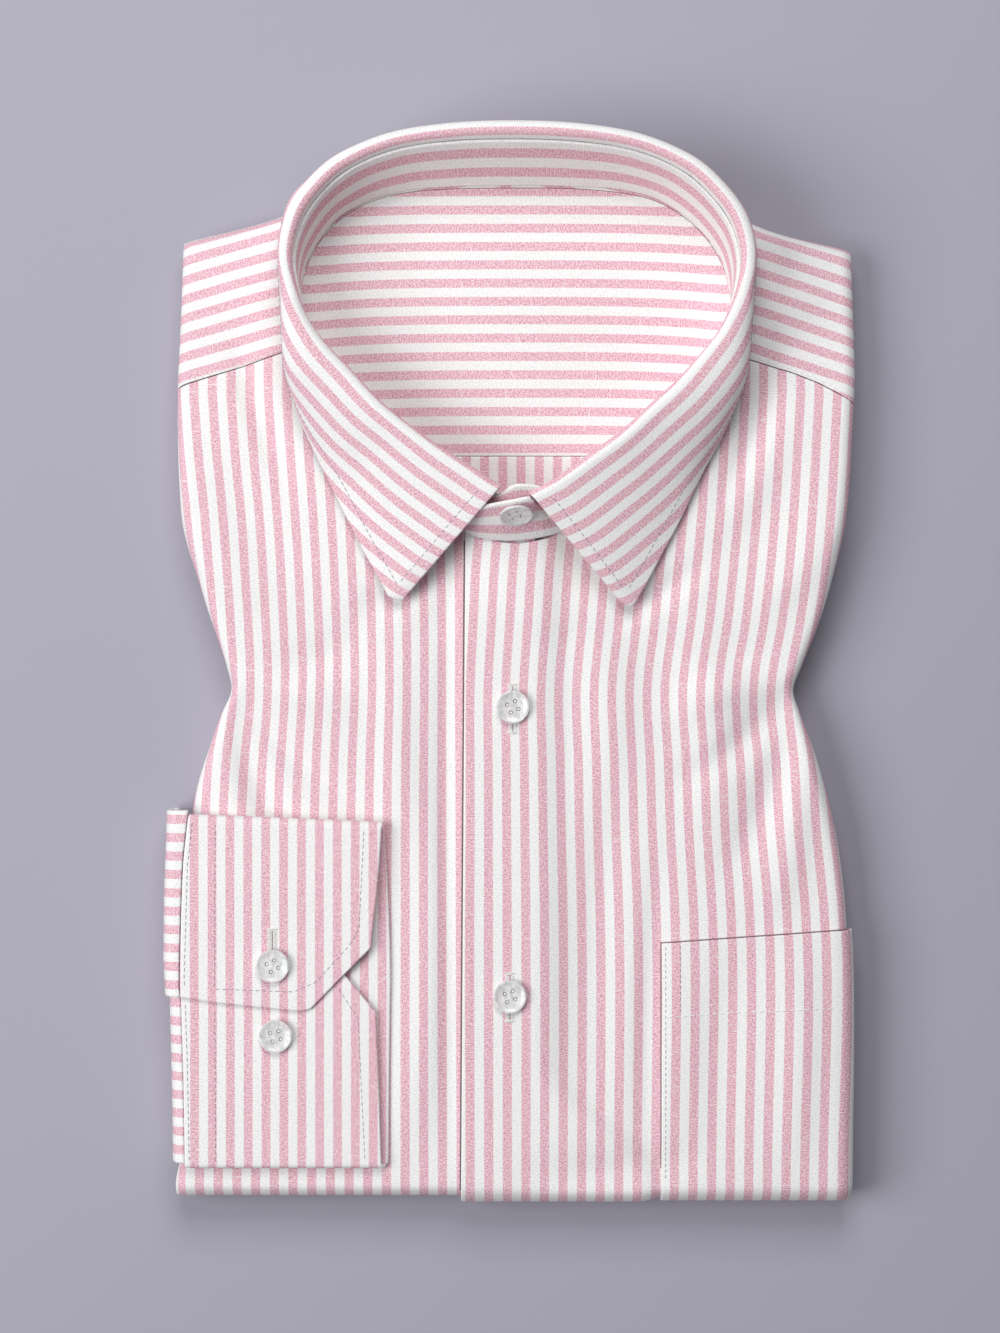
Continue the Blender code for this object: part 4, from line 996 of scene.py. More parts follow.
def folded_layers():
    """The closed solid: rings from under the neck out to the border, down it and back in."""
    border = core_border()
    edges = [core_ring(border, row) for row in CORE_EDGES]
    edges[-1][:, 2] = 0.0
    first = edges[0]
    angle = np.arctan2(first[:, 1] - NECK_MIDDLE[1], first[:, 0] - NECK_MIDDLE[0])
    direction = np.stack([np.cos(angle), np.sin(angle)], axis=-1)
    radius = neck_radius(angle)
    middle = np.array(NECK_MIDDLE)
    under = PLY + 3 * SEAM_GAP + CREASE_ROOM
    rings = []
    for inward in HOLLOW_RINGS:
        plan = middle + direction * (radius * (1 - inward))[:, None]
        rings.append(np.column_stack([plan, hollow_height(plan[:, 0], plan[:, 1]) - under]))
    neck = middle + direction * (radius + NECK_MARGIN)[:, None]
    for share in TOP_RINGS:
        plan = neck + (first[:, :2] - neck) * share
        rings.append(np.column_stack([plan, upper_height(plan[:, 0], plan[:, 1]) - under]))
    rings += edges
    rings += [edges[-1] * share for share in FLOOR_RINGS]
    count = len(border)
    grid = np.array(rings)
    length = line_lengths(grid, 0)
    yarn = grid[..., :2].copy()
    sides = np.array(["left" in kind or "right" in kind for kind, _, _ in border])
    first_rolled = len(HOLLOW_RINGS) + len(TOP_RINGS)
    turned = np.where(first[:, 0] < 0.0, -1.0, 1.0)[None] * (length - length[first_rolled])
    rolled = (np.arange(len(rings)) >= first_rolled)[:, None] & sides[None]
    yarn[..., 0] = np.where(rolled, first[None, :, 0] + turned, yarn[..., 0])
    points = np.concatenate([[(*NECK_MIDDLE, float(hollow_height(*NECK_MIDDLE)) - under)],
                             grid.reshape(-1, 3), [(0.0, 0.0, 0.0)]])
    yarns = np.concatenate([[NECK_MIDDLE], yarn.reshape(-1, 2), [(0.0, 0.0)]])
    faces = []
    for j in range(count):
        after = (j + 1) % count
        faces.append((0, 1 + j, 1 + after))
        for i in range(len(rings) - 1):
            a = 1 + i * count
            b = a + count
            faces.append((a + j, b + j, b + after, a + after))
        last = 1 + (len(rings) - 1) * count
        faces.append((len(points) - 1, last + after, last + j))
    return add_piece("folded_layers_cloth", points, faces, yarns, body_cotton)


layers = folded_layers()
stands_for(layers, "folded_layers")
print("folded layers faces:", len(layers.data.polygons))

# %% [markdown]
# ## The collar
#
# A shirt collar is two pieces: a band that stands up round the neck, and a fall that is sewn
# to the top of the band and turned down over it, ending in two points. The fall is modelled
# as a row of sections, each one a line that goes up the inner side, round the fold and out to
# the edge. The table gives the neck seam, the fold and the edge for each section.

# %% Collar sizes
COLLAR_ROLL = 2.75     # radius of the collar's fold line
COLLAR_SEAM_DROP = 2.6         # the fall starts this far down the inner side of the fold
COLLAR_PLY = 1.3       # two plies and their interlining
LEAF_BOW = 0.9
FULL_HEIGHT = 0.6      # how tall the rounding of a full fall is, for its reach
FULL_LEAN = 0.12       # and how much it leans out below that
LEAF_BOW_OUT = 0.6     # share of the leaf's bow that goes outwards
BAND_PROUD = 0.5       # the band's top stands in from the fall
COLLAR_PITCH = 1.5     # distance between sections of the fall and of the band
SEAM_SHARES = (1.0, 0.94, 0.8, 0.5)    # rows between the fall's seam and the fold
COLLAR = (             # from the left point's front edge, round the back, to the right's
    # neck x, y, fold x, y, z, edge x, y, z, white stripe's middle out from the crest, fullness
    (-15.5, 49.7, -4.4, 60.4, 40.4, -37.4, 23.0, 24.2, 0.90, 0.00),
    (-18.8, 51.5, -7.9, 62.2, 40.45, -42.1, 24.2, 24.15, 0.90, 0.00),
    (-25.0, 54.8, -13.8, 66.3, 40.6, -44.9, 28.8, 24.0, 0.90, 0.00),
    (-37.0, 62.2, -25.6, 73.7, 40.9, -52.4, 42.4, 23.8, 0.25, 0.00),
    (-49.0, 72.4, -37.7, 82.3, 41.3, -60.3, 58.1, 23.6, -0.60, 0.00),
    (-58.0, 81.6, -47.4, 90.5, 41.8, -66.9, 71.7, 23.4, -0.50, 0.35),
    (-65.6, 91.8, -56.4, 100.2, 42.2, -73.4, 86.1, 23.0, -0.60, 0.70),
    (-70.8, 103.4, -66.0, 110.3, 43.0, -78.5, 102.6, 22.6, -1.00, 1.00),
    (-73.2, 114.6, -72.7, 120.5, 43.6, -80.0, 118.7, 22.2, -1.50, 1.00),
    (-73.6, 126.0, -75.6, 130.5, 44.0, -80.7, 131.5, 21.8, -0.10, 1.00),
    (-72.2, 137.0, -77.2, 142.0, 44.2, -80.9, 144.0, 21.2, 1.00, 1.00),
    (-68.2, 146.6, -74.3, 154.5, 44.2, -79.2, 157.5, 19.6, 1.45, 1.00),
    (-60.8, 156.4, -68.6, 163.7, 44.0, -73.6, 167.0, 16.5, 1.65, 1.00),
    (-50.0, 162.8, -58.2, 173.4, 43.6, -60.5, 176.6, 12.0, 1.60, 1.00),
    (-36.0, 166.6, -41.1, 180.9, 43.2, -41.8, 181.4, 8.5, 1.72, 0.00),
    (-19.0, 168.0, -20.5, 184.2, 43.0, -20.7, 183.0, 6.6, 1.83, 0.00),
    (2.0, 168.3, 2.1, 185.0, 43.0, 2.1, 183.4, 6.4, 1.95, 0.00),
    (23.0, 168.0, 24.5, 184.0, 43.0, 24.7, 183.0, 6.6, 1.83, 0.00),
    (40.0, 166.8, 45.0, 180.4, 43.2, 45.7, 181.2, 8.5, 1.72, 0.00),
    (54.0, 162.6, 62.3, 172.6, 43.6, 64.6, 175.4, 12.0, 1.60, 1.00),
    (65.0, 154.6, 73.6, 161.8, 44.0, 78.2, 164.4, 16.5, 1.62, 1.00),
    (72.2, 145.8, 79.6, 152.0, 44.2, 84.2, 154.0, 19.6, 1.40, 1.00),
    (75.6, 137.8, 82.0, 140.6, 44.2, 86.2, 142.0, 21.2, 0.90, 1.00),
    (77.4, 127.4, 80.2, 129.0, 44.0, 85.6, 129.2, 21.8, 0.00, 1.00),
    (77.4, 112.6, 74.6, 115.6, 43.6, 84.3, 114.6, 22.2, -0.80, 1.00),
    (75.0, 101.6, 67.5, 105.8, 43.0, 82.1, 99.0, 22.6, -0.90, 1.00),
    (69.4, 89.8, 58.9, 96.3, 42.2, 75.5, 82.6, 23.0, -0.35, 0.70),
    (61.8, 79.6, 49.7, 88.0, 41.8, 67.5, 67.2, 23.4, -0.05, 0.35),
    (52.2, 70.6, 40.0, 79.1, 41.3, 60.5, 52.5, 23.6, 0.20, 0.00),
    (41.8, 62.0, 29.4, 71.5, 40.9, 53.1, 38.6, 23.8, 0.50, 0.00),
    (29.4, 53.8, 18.2, 63.4, 40.6, 46.5, 26.3, 24.0, 0.60, 0.00),
    (23.3, 50.8, 13.2, 60.5, 40.45, 43.0, 21.1, 24.15, 0.45, 0.00),
    (20.4, 49.3, 8.3, 57.9, 40.4, 38.8, 22.1, 24.2, 0.40, 0.00),
)
COLLAR_KEYS = np.arange(len(COLLAR), dtype=float)
FOLD_SAMPLES = 1200
ELLIPSE_STEPS = 25
LEVEL_REACH = 3.0      # where fold and edge are nearer than this, out is away from the neck
WHITE_COLUMN = 8
FULLNESS_COLUMN = 9


def collar_at(keys):
    """Neck, fold and edge points of the collar at places along it, and its fullness."""
    values = [curve(COLLAR_KEYS, column(COLLAR, i), keys) for i in range(WHITE_COLUMN)]
    neck_z = upper_height(values[0], values[1]) + SEAM_GAP
    neck = np.stack([values[0], values[1], neck_z], axis=-1)
    fullness = np.clip(curve(COLLAR_KEYS, column(COLLAR, FULLNESS_COLUMN), keys), 0.0, 1.0)
    return neck, np.stack(values[2:5], axis=-1), np.stack(values[5:], axis=-1), fullness


def along_collar():
    """Keys of the collar at even distances along its fold, and those distances."""
    dense = np.linspace(0.0, COLLAR_KEYS[-1], FOLD_SAMPLES)
    fold = collar_at(dense)[1]
    length = run_along(fold)
    at = places(0.0, length[-1], thickness=COLLAR_PLY, pitch=COLLAR_PITCH)
    return np.interp(at, length, dense), at


def rounded_fall(crest, edge, out):
    """A full curve from the crest out and down to the edge: a quarter ellipse, then straight."""
    drop = crest[2] - edge[2]
    reach = ((edge - crest) @ out - FULL_LEAN * (drop - 1.0)) / (1 - FULL_LEAN * FULL_HEIGHT)
    reach = max(reach, COLLAR_ROLL)
    tall = min(drop, FULL_HEIGHT * reach + 1.0)
    angle = np.linspace(0.0, math.pi / 2, ELLIPSE_STEPS)
    up = np.array([0.0, 0.0, 1.0])
    side = edge - crest - reach * out + drop * up
    line = crest + np.outer(reach * np.sin(angle), out) - np.outer(tall * (1 - np.cos(angle)), up)
    line = np.concatenate([line, [line[-1] - (drop - tall) * up]])
    run = run_along(line)
    share = run / run[-1]
    return share, line + np.outer(share, side)


def collar_section(neck, fold, edge, fullness, turns, shares):
    """Upper face of the fall in one section, its distance from the crest, and the band's top."""
    up = np.array([0.0, 0.0, 1.0])
    out = np.array([edge[0] - fold[0], edge[1] - fold[1], 0.0])
    if np.hypot(out[0], out[1]) < LEVEL_REACH:
        out = np.array([fold[0] - NECK_MIDDLE[0], fold[1] - NECK_MIDDLE[1], 0.0])
    out /= np.linalg.norm(out)
    centre = fold - up * COLLAR_ROLL
    reach = edge - centre
    length = math.hypot(reach @ out, reach[2])
    fall_angle = math.pi / 2 + math.atan2(-reach[2], reach @ out) - math.acos(COLLAR_ROLL / length)
    rise = centre - neck
    rise_angle = math.atan2(rise[2], rise @ out)
    rise_angle += math.asin(COLLAR_ROLL / math.hypot(rise[2], rise @ out))
    start_angle = -rise_angle
    along = math.cos(rise_angle) * out + math.sin(rise_angle) * up
    start = centre + COLLAR_ROLL * (math.sin(start_angle) * out + math.cos(start_angle) * up)
    points = []
    crest = []
    for share in SEAM_SHARES:
        points.append(start - along * COLLAR_SEAM_DROP * share)
        crest.append(start_angle * COLLAR_ROLL - COLLAR_SEAM_DROP * share)
    for share in turns:
        angle = start_angle + (fall_angle - start_angle) * share
        points.append(centre + COLLAR_ROLL * (math.sin(angle) * out + math.cos(angle) * up))
        crest.append(angle * COLLAR_ROLL)
    turned = points[-1]
    side = edge - turned
    outward = math.cos(fall_angle - math.pi / 2) * up + math.sin(fall_angle) * out * LEAF_BOW_OUT
    for share in shares:
        points.append(turned + side * share + outward * LEAF_BOW * math.sin(math.pi * share))
        crest.append(fall_angle * COLLAR_ROLL + np.linalg.norm(side) * share)
    points = np.array(points)
    crest = np.array(crest)
    beyond = crest > 0.0
    share, line = rounded_fall(fold, edge, out)
    reached = crest[beyond] / crest[-1]
    points[beyond] += (points_at(reached, share, line) - points[beyond]) * fullness
    crest[beyond] = run_along(np.vstack([fold, points[beyond]]))[1:]
    return points, crest, start - along * (COLLAR_SEAM_DROP + SEAM_GAP)


print("sections of the collar:", len(COLLAR))

# %% Fall of the collar
FOLD_TURNS = np.linspace(0.0, 1.0, 13)
LEAF_SHARES = np.concatenate([np.linspace(0.0, 0.955, 26)[1:], [0.975, 0.988, 0.996, 1.0]])


def collar_fall():
    """The fall's outer face, and the piece."""
    keys, along = along_collar()
    rows = [collar_section(*row, FOLD_TURNS, LEAF_SHARES) for row in zip(*collar_at(keys))]
    upper = np.array([points for points, _, _ in rows]).transpose(1, 0, 2)
    crest = np.array([crest for _, crest, _ in rows]).T
    white = curve(COLLAR_KEYS, column(COLLAR, WHITE_COLUMN), keys)
    across = crest - white[None] - STRIPE_PERIOD / 2
    yarn = np.stack([across, np.broadcast_to(along, across.shape)], axis=-1)
    return upper, ply("collar_fall_cloth", upper, moved_out(upper, COLLAR_PLY), yarn, body_cotton,
                      thickness=COLLAR_PLY)


fall_face, fall = collar_fall()
stands_for(fall, "collar_fall")
print("fall faces:", len(fall.data.polygons))

# %% [markdown]
# ## The collar band
#
# The band stands on the neck seam and leans out to the fall. At the front its two ends lie
# over each other and are buttoned. Its stripes run round the neck.

# %% Collar band
BAND_UNDER = (         # its under end, from the tip to the left point
    # foot x, foot y, head x, head y, head z
    (18.0, 49.2, 14.0, 60.8, 36.5),
    (10.0, 46.8, 9.6, 62.4, 38.8),
    (2.2, 46.1, 2.0, 62.8, 39.2),
)
BAND_UPPER = (         # its upper end, from the right point to the tip
    # foot x, foot y, head x, head y, head z
    (12.0, 47.4, 6.95, 59.9, 37.6),
    (2.2, 46.0, 1.1, 59.0, 37.0),
    (-4.0, 46.1, -3.4, 58.2, 36.5),
    (-10.0, 47.1, -9.6, 57.0, 35.2),
    (-15.0, 49.0, -14.6, 55.2, 32.5),
)
LAPPED = (0.2, 0.6, 1.0, 1.0, 1.0, 1.0, 1.0)    # how far the upper end has stepped out
LAP_FOOT = 0.9                              # and its foot has risen over the placket
BAND_STRIPES_FRONT = 2.1                    # stripes between foot and head
BAND_STRIPES_BACK = 2.36
BAND_FIRST = 0.325                          # share of its height with the first pink stripe
BAND_TALL = 22.0                            # its height at the back
BAND_BACK = 2.6                             # the larger, the shorter the back's share of it
BAND_INSIDE = 0.1                           # it is this much thinner than in the stack


def band_frame():
    """Feet and heads of the band at the table's sections."""
    neck, fold, edge, fullness = collar_at(COLLAR_KEYS)
    sections = zip(neck, fold, edge, fullness)
    tops = [collar_section(*row, FOLD_TURNS, LEAF_SHARES)[2] for row in sections]
    feet = [[], []]
    heads = [[], []]
    for end, table in enumerate((BAND_UNDER, BAND_UPPER)):
        for foot_x, foot_y, head_x, head_y, head_z in table:
            feet[end].append((foot_x, foot_y, float(upper_height(foot_x, foot_y)) + SEAM_GAP))
            heads[end].append((head_x, head_y, head_z))
    feet = np.array(feet[0] + list(neck) + feet[1])
    heads = np.array(heads[0] + tops + heads[1])
    slope = heads - feet
    slope /= np.linalg.norm(slope, axis=1, keepdims=True)
    out = feet[:, :2] - np.array(NECK_MIDDLE)
    out /= np.linalg.norm(out, axis=1, keepdims=True)
    lean = np.sum(slope[:, :2] * out, axis=1)
    feet = feet + slope * (BAND * np.clip(lean, 0.0, 1.0) / slope[:, 2])[:, None]
    face = np.stack([feet, heads])
    lapped = np.zeros(len(feet))
    lapped[-len(LAPPED):] = LAPPED
    lap = BAND + SEAM_GAP
    face = face + (moved_out(face, lap) - face) * lapped[None, :, None]
    face[0, :, 2] += LAP_FOOT * lapped
    return face[0], face[1]


def collar_band():
    """The band, from its feet on the neck seam to its heads under the fall."""
    feet, heads = band_frame()
    keys = run_along(heads)
    at = places(0.0, keys[-1], thickness=BAND, pitch=COLLAR_PITCH)
    foot = np.stack([curve(keys, feet[:, i], at) for i in range(3)], axis=-1)
    head = np.stack([curve(keys, heads[:, i], at) for i in range(3)], axis=-1)
    shares = places(0.0, BAND_TALL, thickness=BAND)[:, None] / BAND_TALL
    inner = foot[None] + (head - foot)[None] * shares[..., None]
    inner = inner + (moved_out(inner, -BAND_PROUD) - inner) * ease(shares)[..., None]
    back_share = np.clip(1 - np.abs(at / keys[-1] - 0.5) * BAND_BACK, 0.0, 1.0)
    stripes = BAND_STRIPES_FRONT + (BAND_STRIPES_BACK - BAND_STRIPES_FRONT) * ease(back_share)
    across = (shares - BAND_FIRST) * stripes[None] * STRIPE_PERIOD
    yarn = np.stack([across, np.broadcast_to(at, across.shape)], axis=-1)
    outer = moved_out(inner, BAND - BAND_INSIDE)
    return ply("collar_band_cloth", inner, outer, yarn, body_cotton, thickness=BAND)


band = collar_band()
stands_for(band, "collar_stand")
print("band faces:", len(band.data.polygons))

# %% [markdown]
# ## Pocket, cuff and sleeve
#
# The chest pocket is a patch on the upper front, cut so that its stripes run on from those
# around it. The parcel's fold at the side and the tail carries it along. The sleeve comes up
# over the left side fold, and its cuff lies on the front, flattened, with one mitred end on
# the other.

# %% Pocket
POCKET_TOP = (         # across the shirt: the pocket's hemmed top
    # x, y
    (53.1, -96.9),
    (118.4, -92.2),
    (134.0, -91.4),
)
POCKET_SIDE = 53.1
POCKET_GAP = 0.6       # between the pocket and the front
POCKET_SIDE_TOP = -92.0        # height at which it meets the side fold
POCKET_SIDE_TURN = 0.8         # share of the side fold that it follows
POCKET_TAIL_TURN = 0.84        # and of the tail's
POCKET_DEPTH = 85.0            # about how deep it is


def pocket_cloth():
    """Cloth coordinates of the pocket: rows run down the shirt, columns across it."""
    bottom = TAIL_EDGE + TAIL_ROLL[0]
    flat_end = float(right_edge(POCKET_SIDE_TOP)) - SIDE_ROLL[0]
    flat = places(POCKET_SIDE, flat_end)[:-len(RIM_STEPS) + 1]
    columns = [(x, 0.0) for x in flat]
    columns += [(flat_end, step) for step in turn_places(SIDE_ROLL, POCKET_SIDE_TURN)[1:]]
    shares = places_on(0.0, POCKET_DEPTH) / POCKET_DEPTH
    tail_steps = turn_places(TAIL_ROLL, POCKET_TAIL_TURN)[1:]
    grid = []
    for x, step in columns:
        top = float(np.interp(x + step, column(POCKET_TOP, 0), column(POCKET_TOP, 1)))
        along = np.concatenate([top + (bottom - top) * shares, bottom - corner_steps(tail_steps, step)])
        if step:
            across = right_edge(np.clip(along, TAIL_EDGE, None)) - SIDE_ROLL[0] + step
        else:
            across = np.full(len(along), x)
        grid.append((across, along))
    return np.array(grid).transpose(1, 2, 0)


pocket = cloth_piece("pocket_cloth", pocket_cloth(), POCKET_GAP + PLY, RIGHT_STRIPES, body_cotton)
stands_for(pocket, "pocket")

# %% Cuff
CUFF_ENDS = (          # down the cuff: its seam, and the right ends of its four layers
    # y, seam, upper flap, lower flap, body of the cuff
    (-51.4, -112.0, -44.3, -46.6, -43.8),
    (-68.8, -113.8, -45.5, -46.6, -43.0),
    (-77.5, -114.2, -46.2, -46.6, -42.6),
    (-97.7, -114.8, -48.3, -46.6, -41.8),
    (-107.8, -115.0, -48.6, -46.6, -41.6),
    (-121.0, -114.6, -48.6, -46.6, -41.8),
    (-137.0, -114.1, -48.6, -46.0, -42.0),
    (-175.2, -113.4, -48.6, -44.7, -42.4),
)
CUFF_FAR = (-51.4, -54.1)      # the cuff's fold nearest the collar, at its left and right
CUFF_NEAR = -175.2     # and the fold nearest the tail
CUFF_BASE = 20.6       # underside of its lower ply
CUFF_ROLL_NEAR = 1.75  # radii of its two folds
CUFF_ROLL_FAR = 2.6
FLAP_STEPS = 36        # points down each flap
ROLL_STEPS = 9         # and round half a turn
HIDDEN_PITCH = 3.0     # between points of the hidden ply
CUFF_WIDTH = 69.0      # about how wide it is
CUFF_MEET = -107.0     # its flaps' ends are looked up at this height
CUFF_MITRES = (        # across the cuff: ends of the upper and of the lower flap
    # x, upper flap, lower flap
    (-119.3, -114.7, -92.0),
    (-102.6, -117.2, -92.0),
    (-86.3, -118.9, -92.0),
    (-73.0, -120.2, -92.0),
    (-69.6, -119.4, -94.0),
    (-63.5, -113.3, -100.6),
    (-57.7, -107.4, -107.4),
    (-52.0, -101.5, -114.3),
    (-48.3, -97.7, -118.7),
    (-46.6, -96.0, -120.7),
)
CUFF_FIRST = -109.8            # first pink stripe beside the sleeve
CUFF_SPACING = 6.23
CUFF_BODY_SHIFT = -3.2         # its hidden half is a little out of register


def straight(start, end):
    """Places on a straight hidden stretch, without its two ends."""
    count = max(2, int(abs(end - start) / HIDDEN_PITCH))
    return start + (end - start) * np.linspace(0.0, 1.0, count + 1)[1:-1]


def cuff_section(far_fold, upper_end, lower_end):
    """The cuff's outer face round its flattened loop, from the lower to the upper flap.

    Every point has its place down the cuff, its height and the layer that it belongs to.
    """
    near, far = CUFF_ROLL_NEAR, CUFF_ROLL_FAR
    y_near = CUFF_NEAR + near
    y_far = far_fold - far
    low_top = CUFF_BASE + 2 * near
    high_top = CUFF_BASE + 2 * far
    rim = np.array(RIM_STEPS) * PLY / 2
    flap = np.linspace(lower_end - rim[-1], y_near, FLAP_STEPS + 1)[1:]
    points = [(lower_end - step, low_top, 1.0) for step in rim]
    points += [(y, low_top, 1.0) for y in flap]
    for angle in np.linspace(0.0, math.pi, ROLL_STEPS)[1:]:
        high = CUFF_BASE + near * (1 + math.cos(angle))
        points.append((y_near - near * math.sin(angle), high, 1 + angle / math.pi))
    points += [(y, CUFF_BASE, 2.0) for y in straight(y_near, CUFF_FAR[1] - far)]
    for angle in np.linspace(math.pi, 0.0, ROLL_STEPS):
        high = CUFF_BASE + far * (1 + math.cos(angle))
        points.append((y_far + far * math.sin(angle), high, 2 * angle / math.pi))
    last = np.linspace(y_far, upper_end + rim[-1], FLAP_STEPS + 1)[1:]
    points += [(y, high_top, 0.0) for y in last]
    points += [(upper_end + step, high_top, 0.0) for step in rim[::-1][1:]]
    return np.array(points)


CUFF_TROUGH = -0.25    # no crease goes deeper, because the next layer is near
FLAP_MARGIN = 0.1      # creases start this far below the lower flap's face
CUFF_CREASES = (
    # from x, from y, to x, to y, width, height
    (-110.0, -70.0, -60.0, -84.0, 7.0, 0.5),
    (-108.0, -100.0, -72.0, -96.0, 6.0, -0.4),
    (-100.0, -140.0, -50.0, -152.0, 8.0, 0.4),
)


def cuff_crease(x, y):
    """Height of the shallow creases on the cuff's upper flap."""
    total = np.zeros(np.broadcast(x, y).shape)
    for x0, y0, x1, y1, width, height in CUFF_CREASES:
        length = math.hypot(x1 - x0, y1 - y0)
        share = np.clip(((x - x0) * (x1 - x0) + (y - y0) * (y1 - y0)) / length ** 2, 0.0, 1.0)
        away = (x - x0 - share * (x1 - x0)) ** 2 + (y - y0 - share * (y1 - y0)) ** 2
        total += height * np.sin(math.pi * share) * np.exp(-away / width ** 2)
    return np.clip(total, CUFF_TROUGH, 1.0)


def cuff_x(share, y, layer):
    """Places across the cuff, from its seam to the end of each layer: 0 upper flap to 2 body."""
    ys = -column(CUFF_ENDS, 0)
    seam, upper, lower, body = (curve(ys, column(CUFF_ENDS, i), -y) for i in (1, 2, 3, 4))
    upper_end = upper + (body - upper) * layer / 2
    lower_end = lower + (body - lower) * (layer - 1)
    return seam + (np.where(layer < 1.0, upper_end, lower_end) - seam) * share


def cuff_grid():
    """All sections of the cuff, from its seam to its mitred ends."""
    grid = []
    for share in places(0.0, CUFF_WIDTH, thickness=PLY) / CUFF_WIDTH:
        xs = cuff_x(share, np.array([CUFF_MEET, CUFF_MEET]), np.array([0.0, 1.0]))
        upper_end, lower_end = (float(np.interp(x, column(CUFF_MITRES, 0), column(CUFF_MITRES, i + 1)))
                                for i, x in enumerate(xs))
        far_fold = CUFF_FAR[0] + (CUFF_FAR[1] - CUFF_FAR[0]) * share
        y, z, layer = cuff_section(far_fold, upper_end, lower_end).T
        grid.append(np.column_stack([cuff_x(share, y, layer), y, z]))
    grid = np.array(grid).transpose(1, 0, 2)
    top = grid[..., 2] > CUFF_BASE + 2 * CUFF_ROLL_NEAR - FLAP_MARGIN
    grid[..., 2] += np.where(top, cuff_crease(grid[..., 0], grid[..., 1]), 0.0)
    return grid


cuff_face = cuff_grid()
round_loop = line_lengths(cuff_face, 0)
body_layer = 1 - ease((cuff_face[..., 2] - CUFF_BASE) / CUFF_ROLL_NEAR)
stripe_places = cuff_face[..., 0] - CUFF_FIRST - CUFF_BODY_SHIFT * body_layer
yarn = np.stack([stripe_places * STRIPE_PERIOD / CUFF_SPACING, round_loop], axis=-1)
cuff = ply("cuff_cloth", cuff_face, moved_out(cuff_face, -PLY), yarn, body_cotton, thickness=PLY)
stands_for(cuff, "cuff")
print("cuff faces:", len(cuff.data.polygons))

# %% Sleeve
SLEEVE_OUT = (         # along the sleeve: how far it reaches past the side fold, and how high
    # y, x, z
    (-173.4, -118.0, 24.1),
    (-150.0, -118.3, 24.1),
    (-115.5, -119.2, 24.1),
    (-114.9, -120.6, 25.8),
    (-103.0, -121.2, 25.8),
    (-80.0, -121.0, 25.8),
    (-50.2, -120.0, 25.8),
)
SLEEVE_STEP = (-114.6, -114.9, -115.2, -115.5, -115.8)     # rows at the upper flap's end
SLEEVE_TURN = 1.55     # radius of its fold beside the body
SLEEVE_LOW = 3.4       # and how high that fold's middle lies
SLEEVE_FAR = -50.2
SLEEVE_NEAR = -173.4
SLEEVE_ROUND = 58.0    # length of cloth round its section
SLEEVE_OVER = (        # how its upper corner rounds: in from its side, down from its top
    (3.4, 0.3),
    (1.1, 2.0),
    (0.0, 5.5),
)
SLEEVE_WALL = 12.0     # its side is upright below this height
SLEEVE_INSIDE = (      # and how it goes back up: in from its inner face, height
    (0.0, SLEEVE_WALL),
    (0.0, 17.2),
    (0.9, 19.9),
)
SLEEVE_PITCH = 1.2
SLEEVE_THINNER = 0.2   # than one ply in the stack
STEP_CLEAR = 0.4       # other rows keep this far from those of the step
SLEEVE_FIRST = -53.1           # first pink stripe, down from its far edge
SLEEVE_SPACING = 6.41


def sleeve_section(out, high, seam, shares):
    """The sleeve's outer face across it: over the side fold, down, and back up inside."""
    end = seam - SEAM_GAP
    inner = out + 2 * SLEEVE_TURN
    bends = [(end, high)]
    bends += [(out + inwards, high - down) for inwards, down in SLEEVE_OVER]
    bends += [(out, SLEEVE_WALL)]
    bends += [(out + SLEEVE_TURN * (1 - math.cos(a)), SLEEVE_LOW - SLEEVE_TURN * math.sin(a))
              for a in np.linspace(0.0, math.pi, ROLL_STEPS)]
    bends += [(inner + inwards, height) for inwards, height in SLEEVE_INSIDE]
    bends += [(end, CUFF_BASE)]
    bends = np.array(bends)
    keys = run_along(bends)
    return points_at(shares * keys[-1], keys, bends)


def sleeve_grid():
    """All sections of the sleeve, from its far end to its near one."""
    grid = []
    shares = places(0.0, SLEEVE_ROUND, thickness=PLY, pitch=SLEEVE_PITCH) / SLEEVE_ROUND
    rows = places(SLEEVE_FAR, SLEEVE_NEAR, thickness=PLY)
    rows = rows[(rows > SLEEVE_STEP[0] + STEP_CLEAR) | (rows < SLEEVE_STEP[-1] - STEP_CLEAR)]
    for y in np.sort(np.concatenate([rows, SLEEVE_STEP]))[::-1]:
        out, high = (float(np.interp(y, column(SLEEVE_OUT, 0), column(SLEEVE_OUT, i))) for i in (1, 2))
        seam = float(cuff_x(0.0, np.array([y]), np.array([0.0]))[0])
        section = sleeve_section(out, high, seam, shares)
        grid.append(np.column_stack([section[:, 0], np.full(len(shares), y), section[:, 1]]))
    return np.array(grid)[:, ::-1]


sleeve_face = sleeve_grid()
yarn = np.stack([(sleeve_face[..., 1] - SLEEVE_FIRST) * STRIPE_PERIOD / SLEEVE_SPACING,
                 line_lengths(sleeve_face, 1)], axis=-1)
sleeve = ply("sleeve_cloth", sleeve_face, moved_out(sleeve_face, SLEEVE_THINNER - PLY), yarn,
             body_cotton, thickness=PLY)
stands_for(sleeve, "sleeve")
print("sleeve faces:", len(sleeve.data.polygons))

# %% [markdown]
# ## Pearl buttons
#
# Each button is turned from shell: a raised rim, a dished middle and four holes. A cylinder
# is enough to start from. In edit mode its upper face is inset step by step, each ring at
# another height, and a Boolean takes out the holes. Nacre is milky and glossy, with faint
# clouds of grey and rose where its layers change direction.

# %% Pearl and thread
PEARL_STRETCH = (420.0, 260.0, 300.0)  # clouds to the metre, each way
PEARL_TURN = (0.4, 0.3, 0.7)           # so that they don't run along the button
TWIST = 900.0                          # turns of the thread to the metre, as drawn
FUZZ = 1200.0


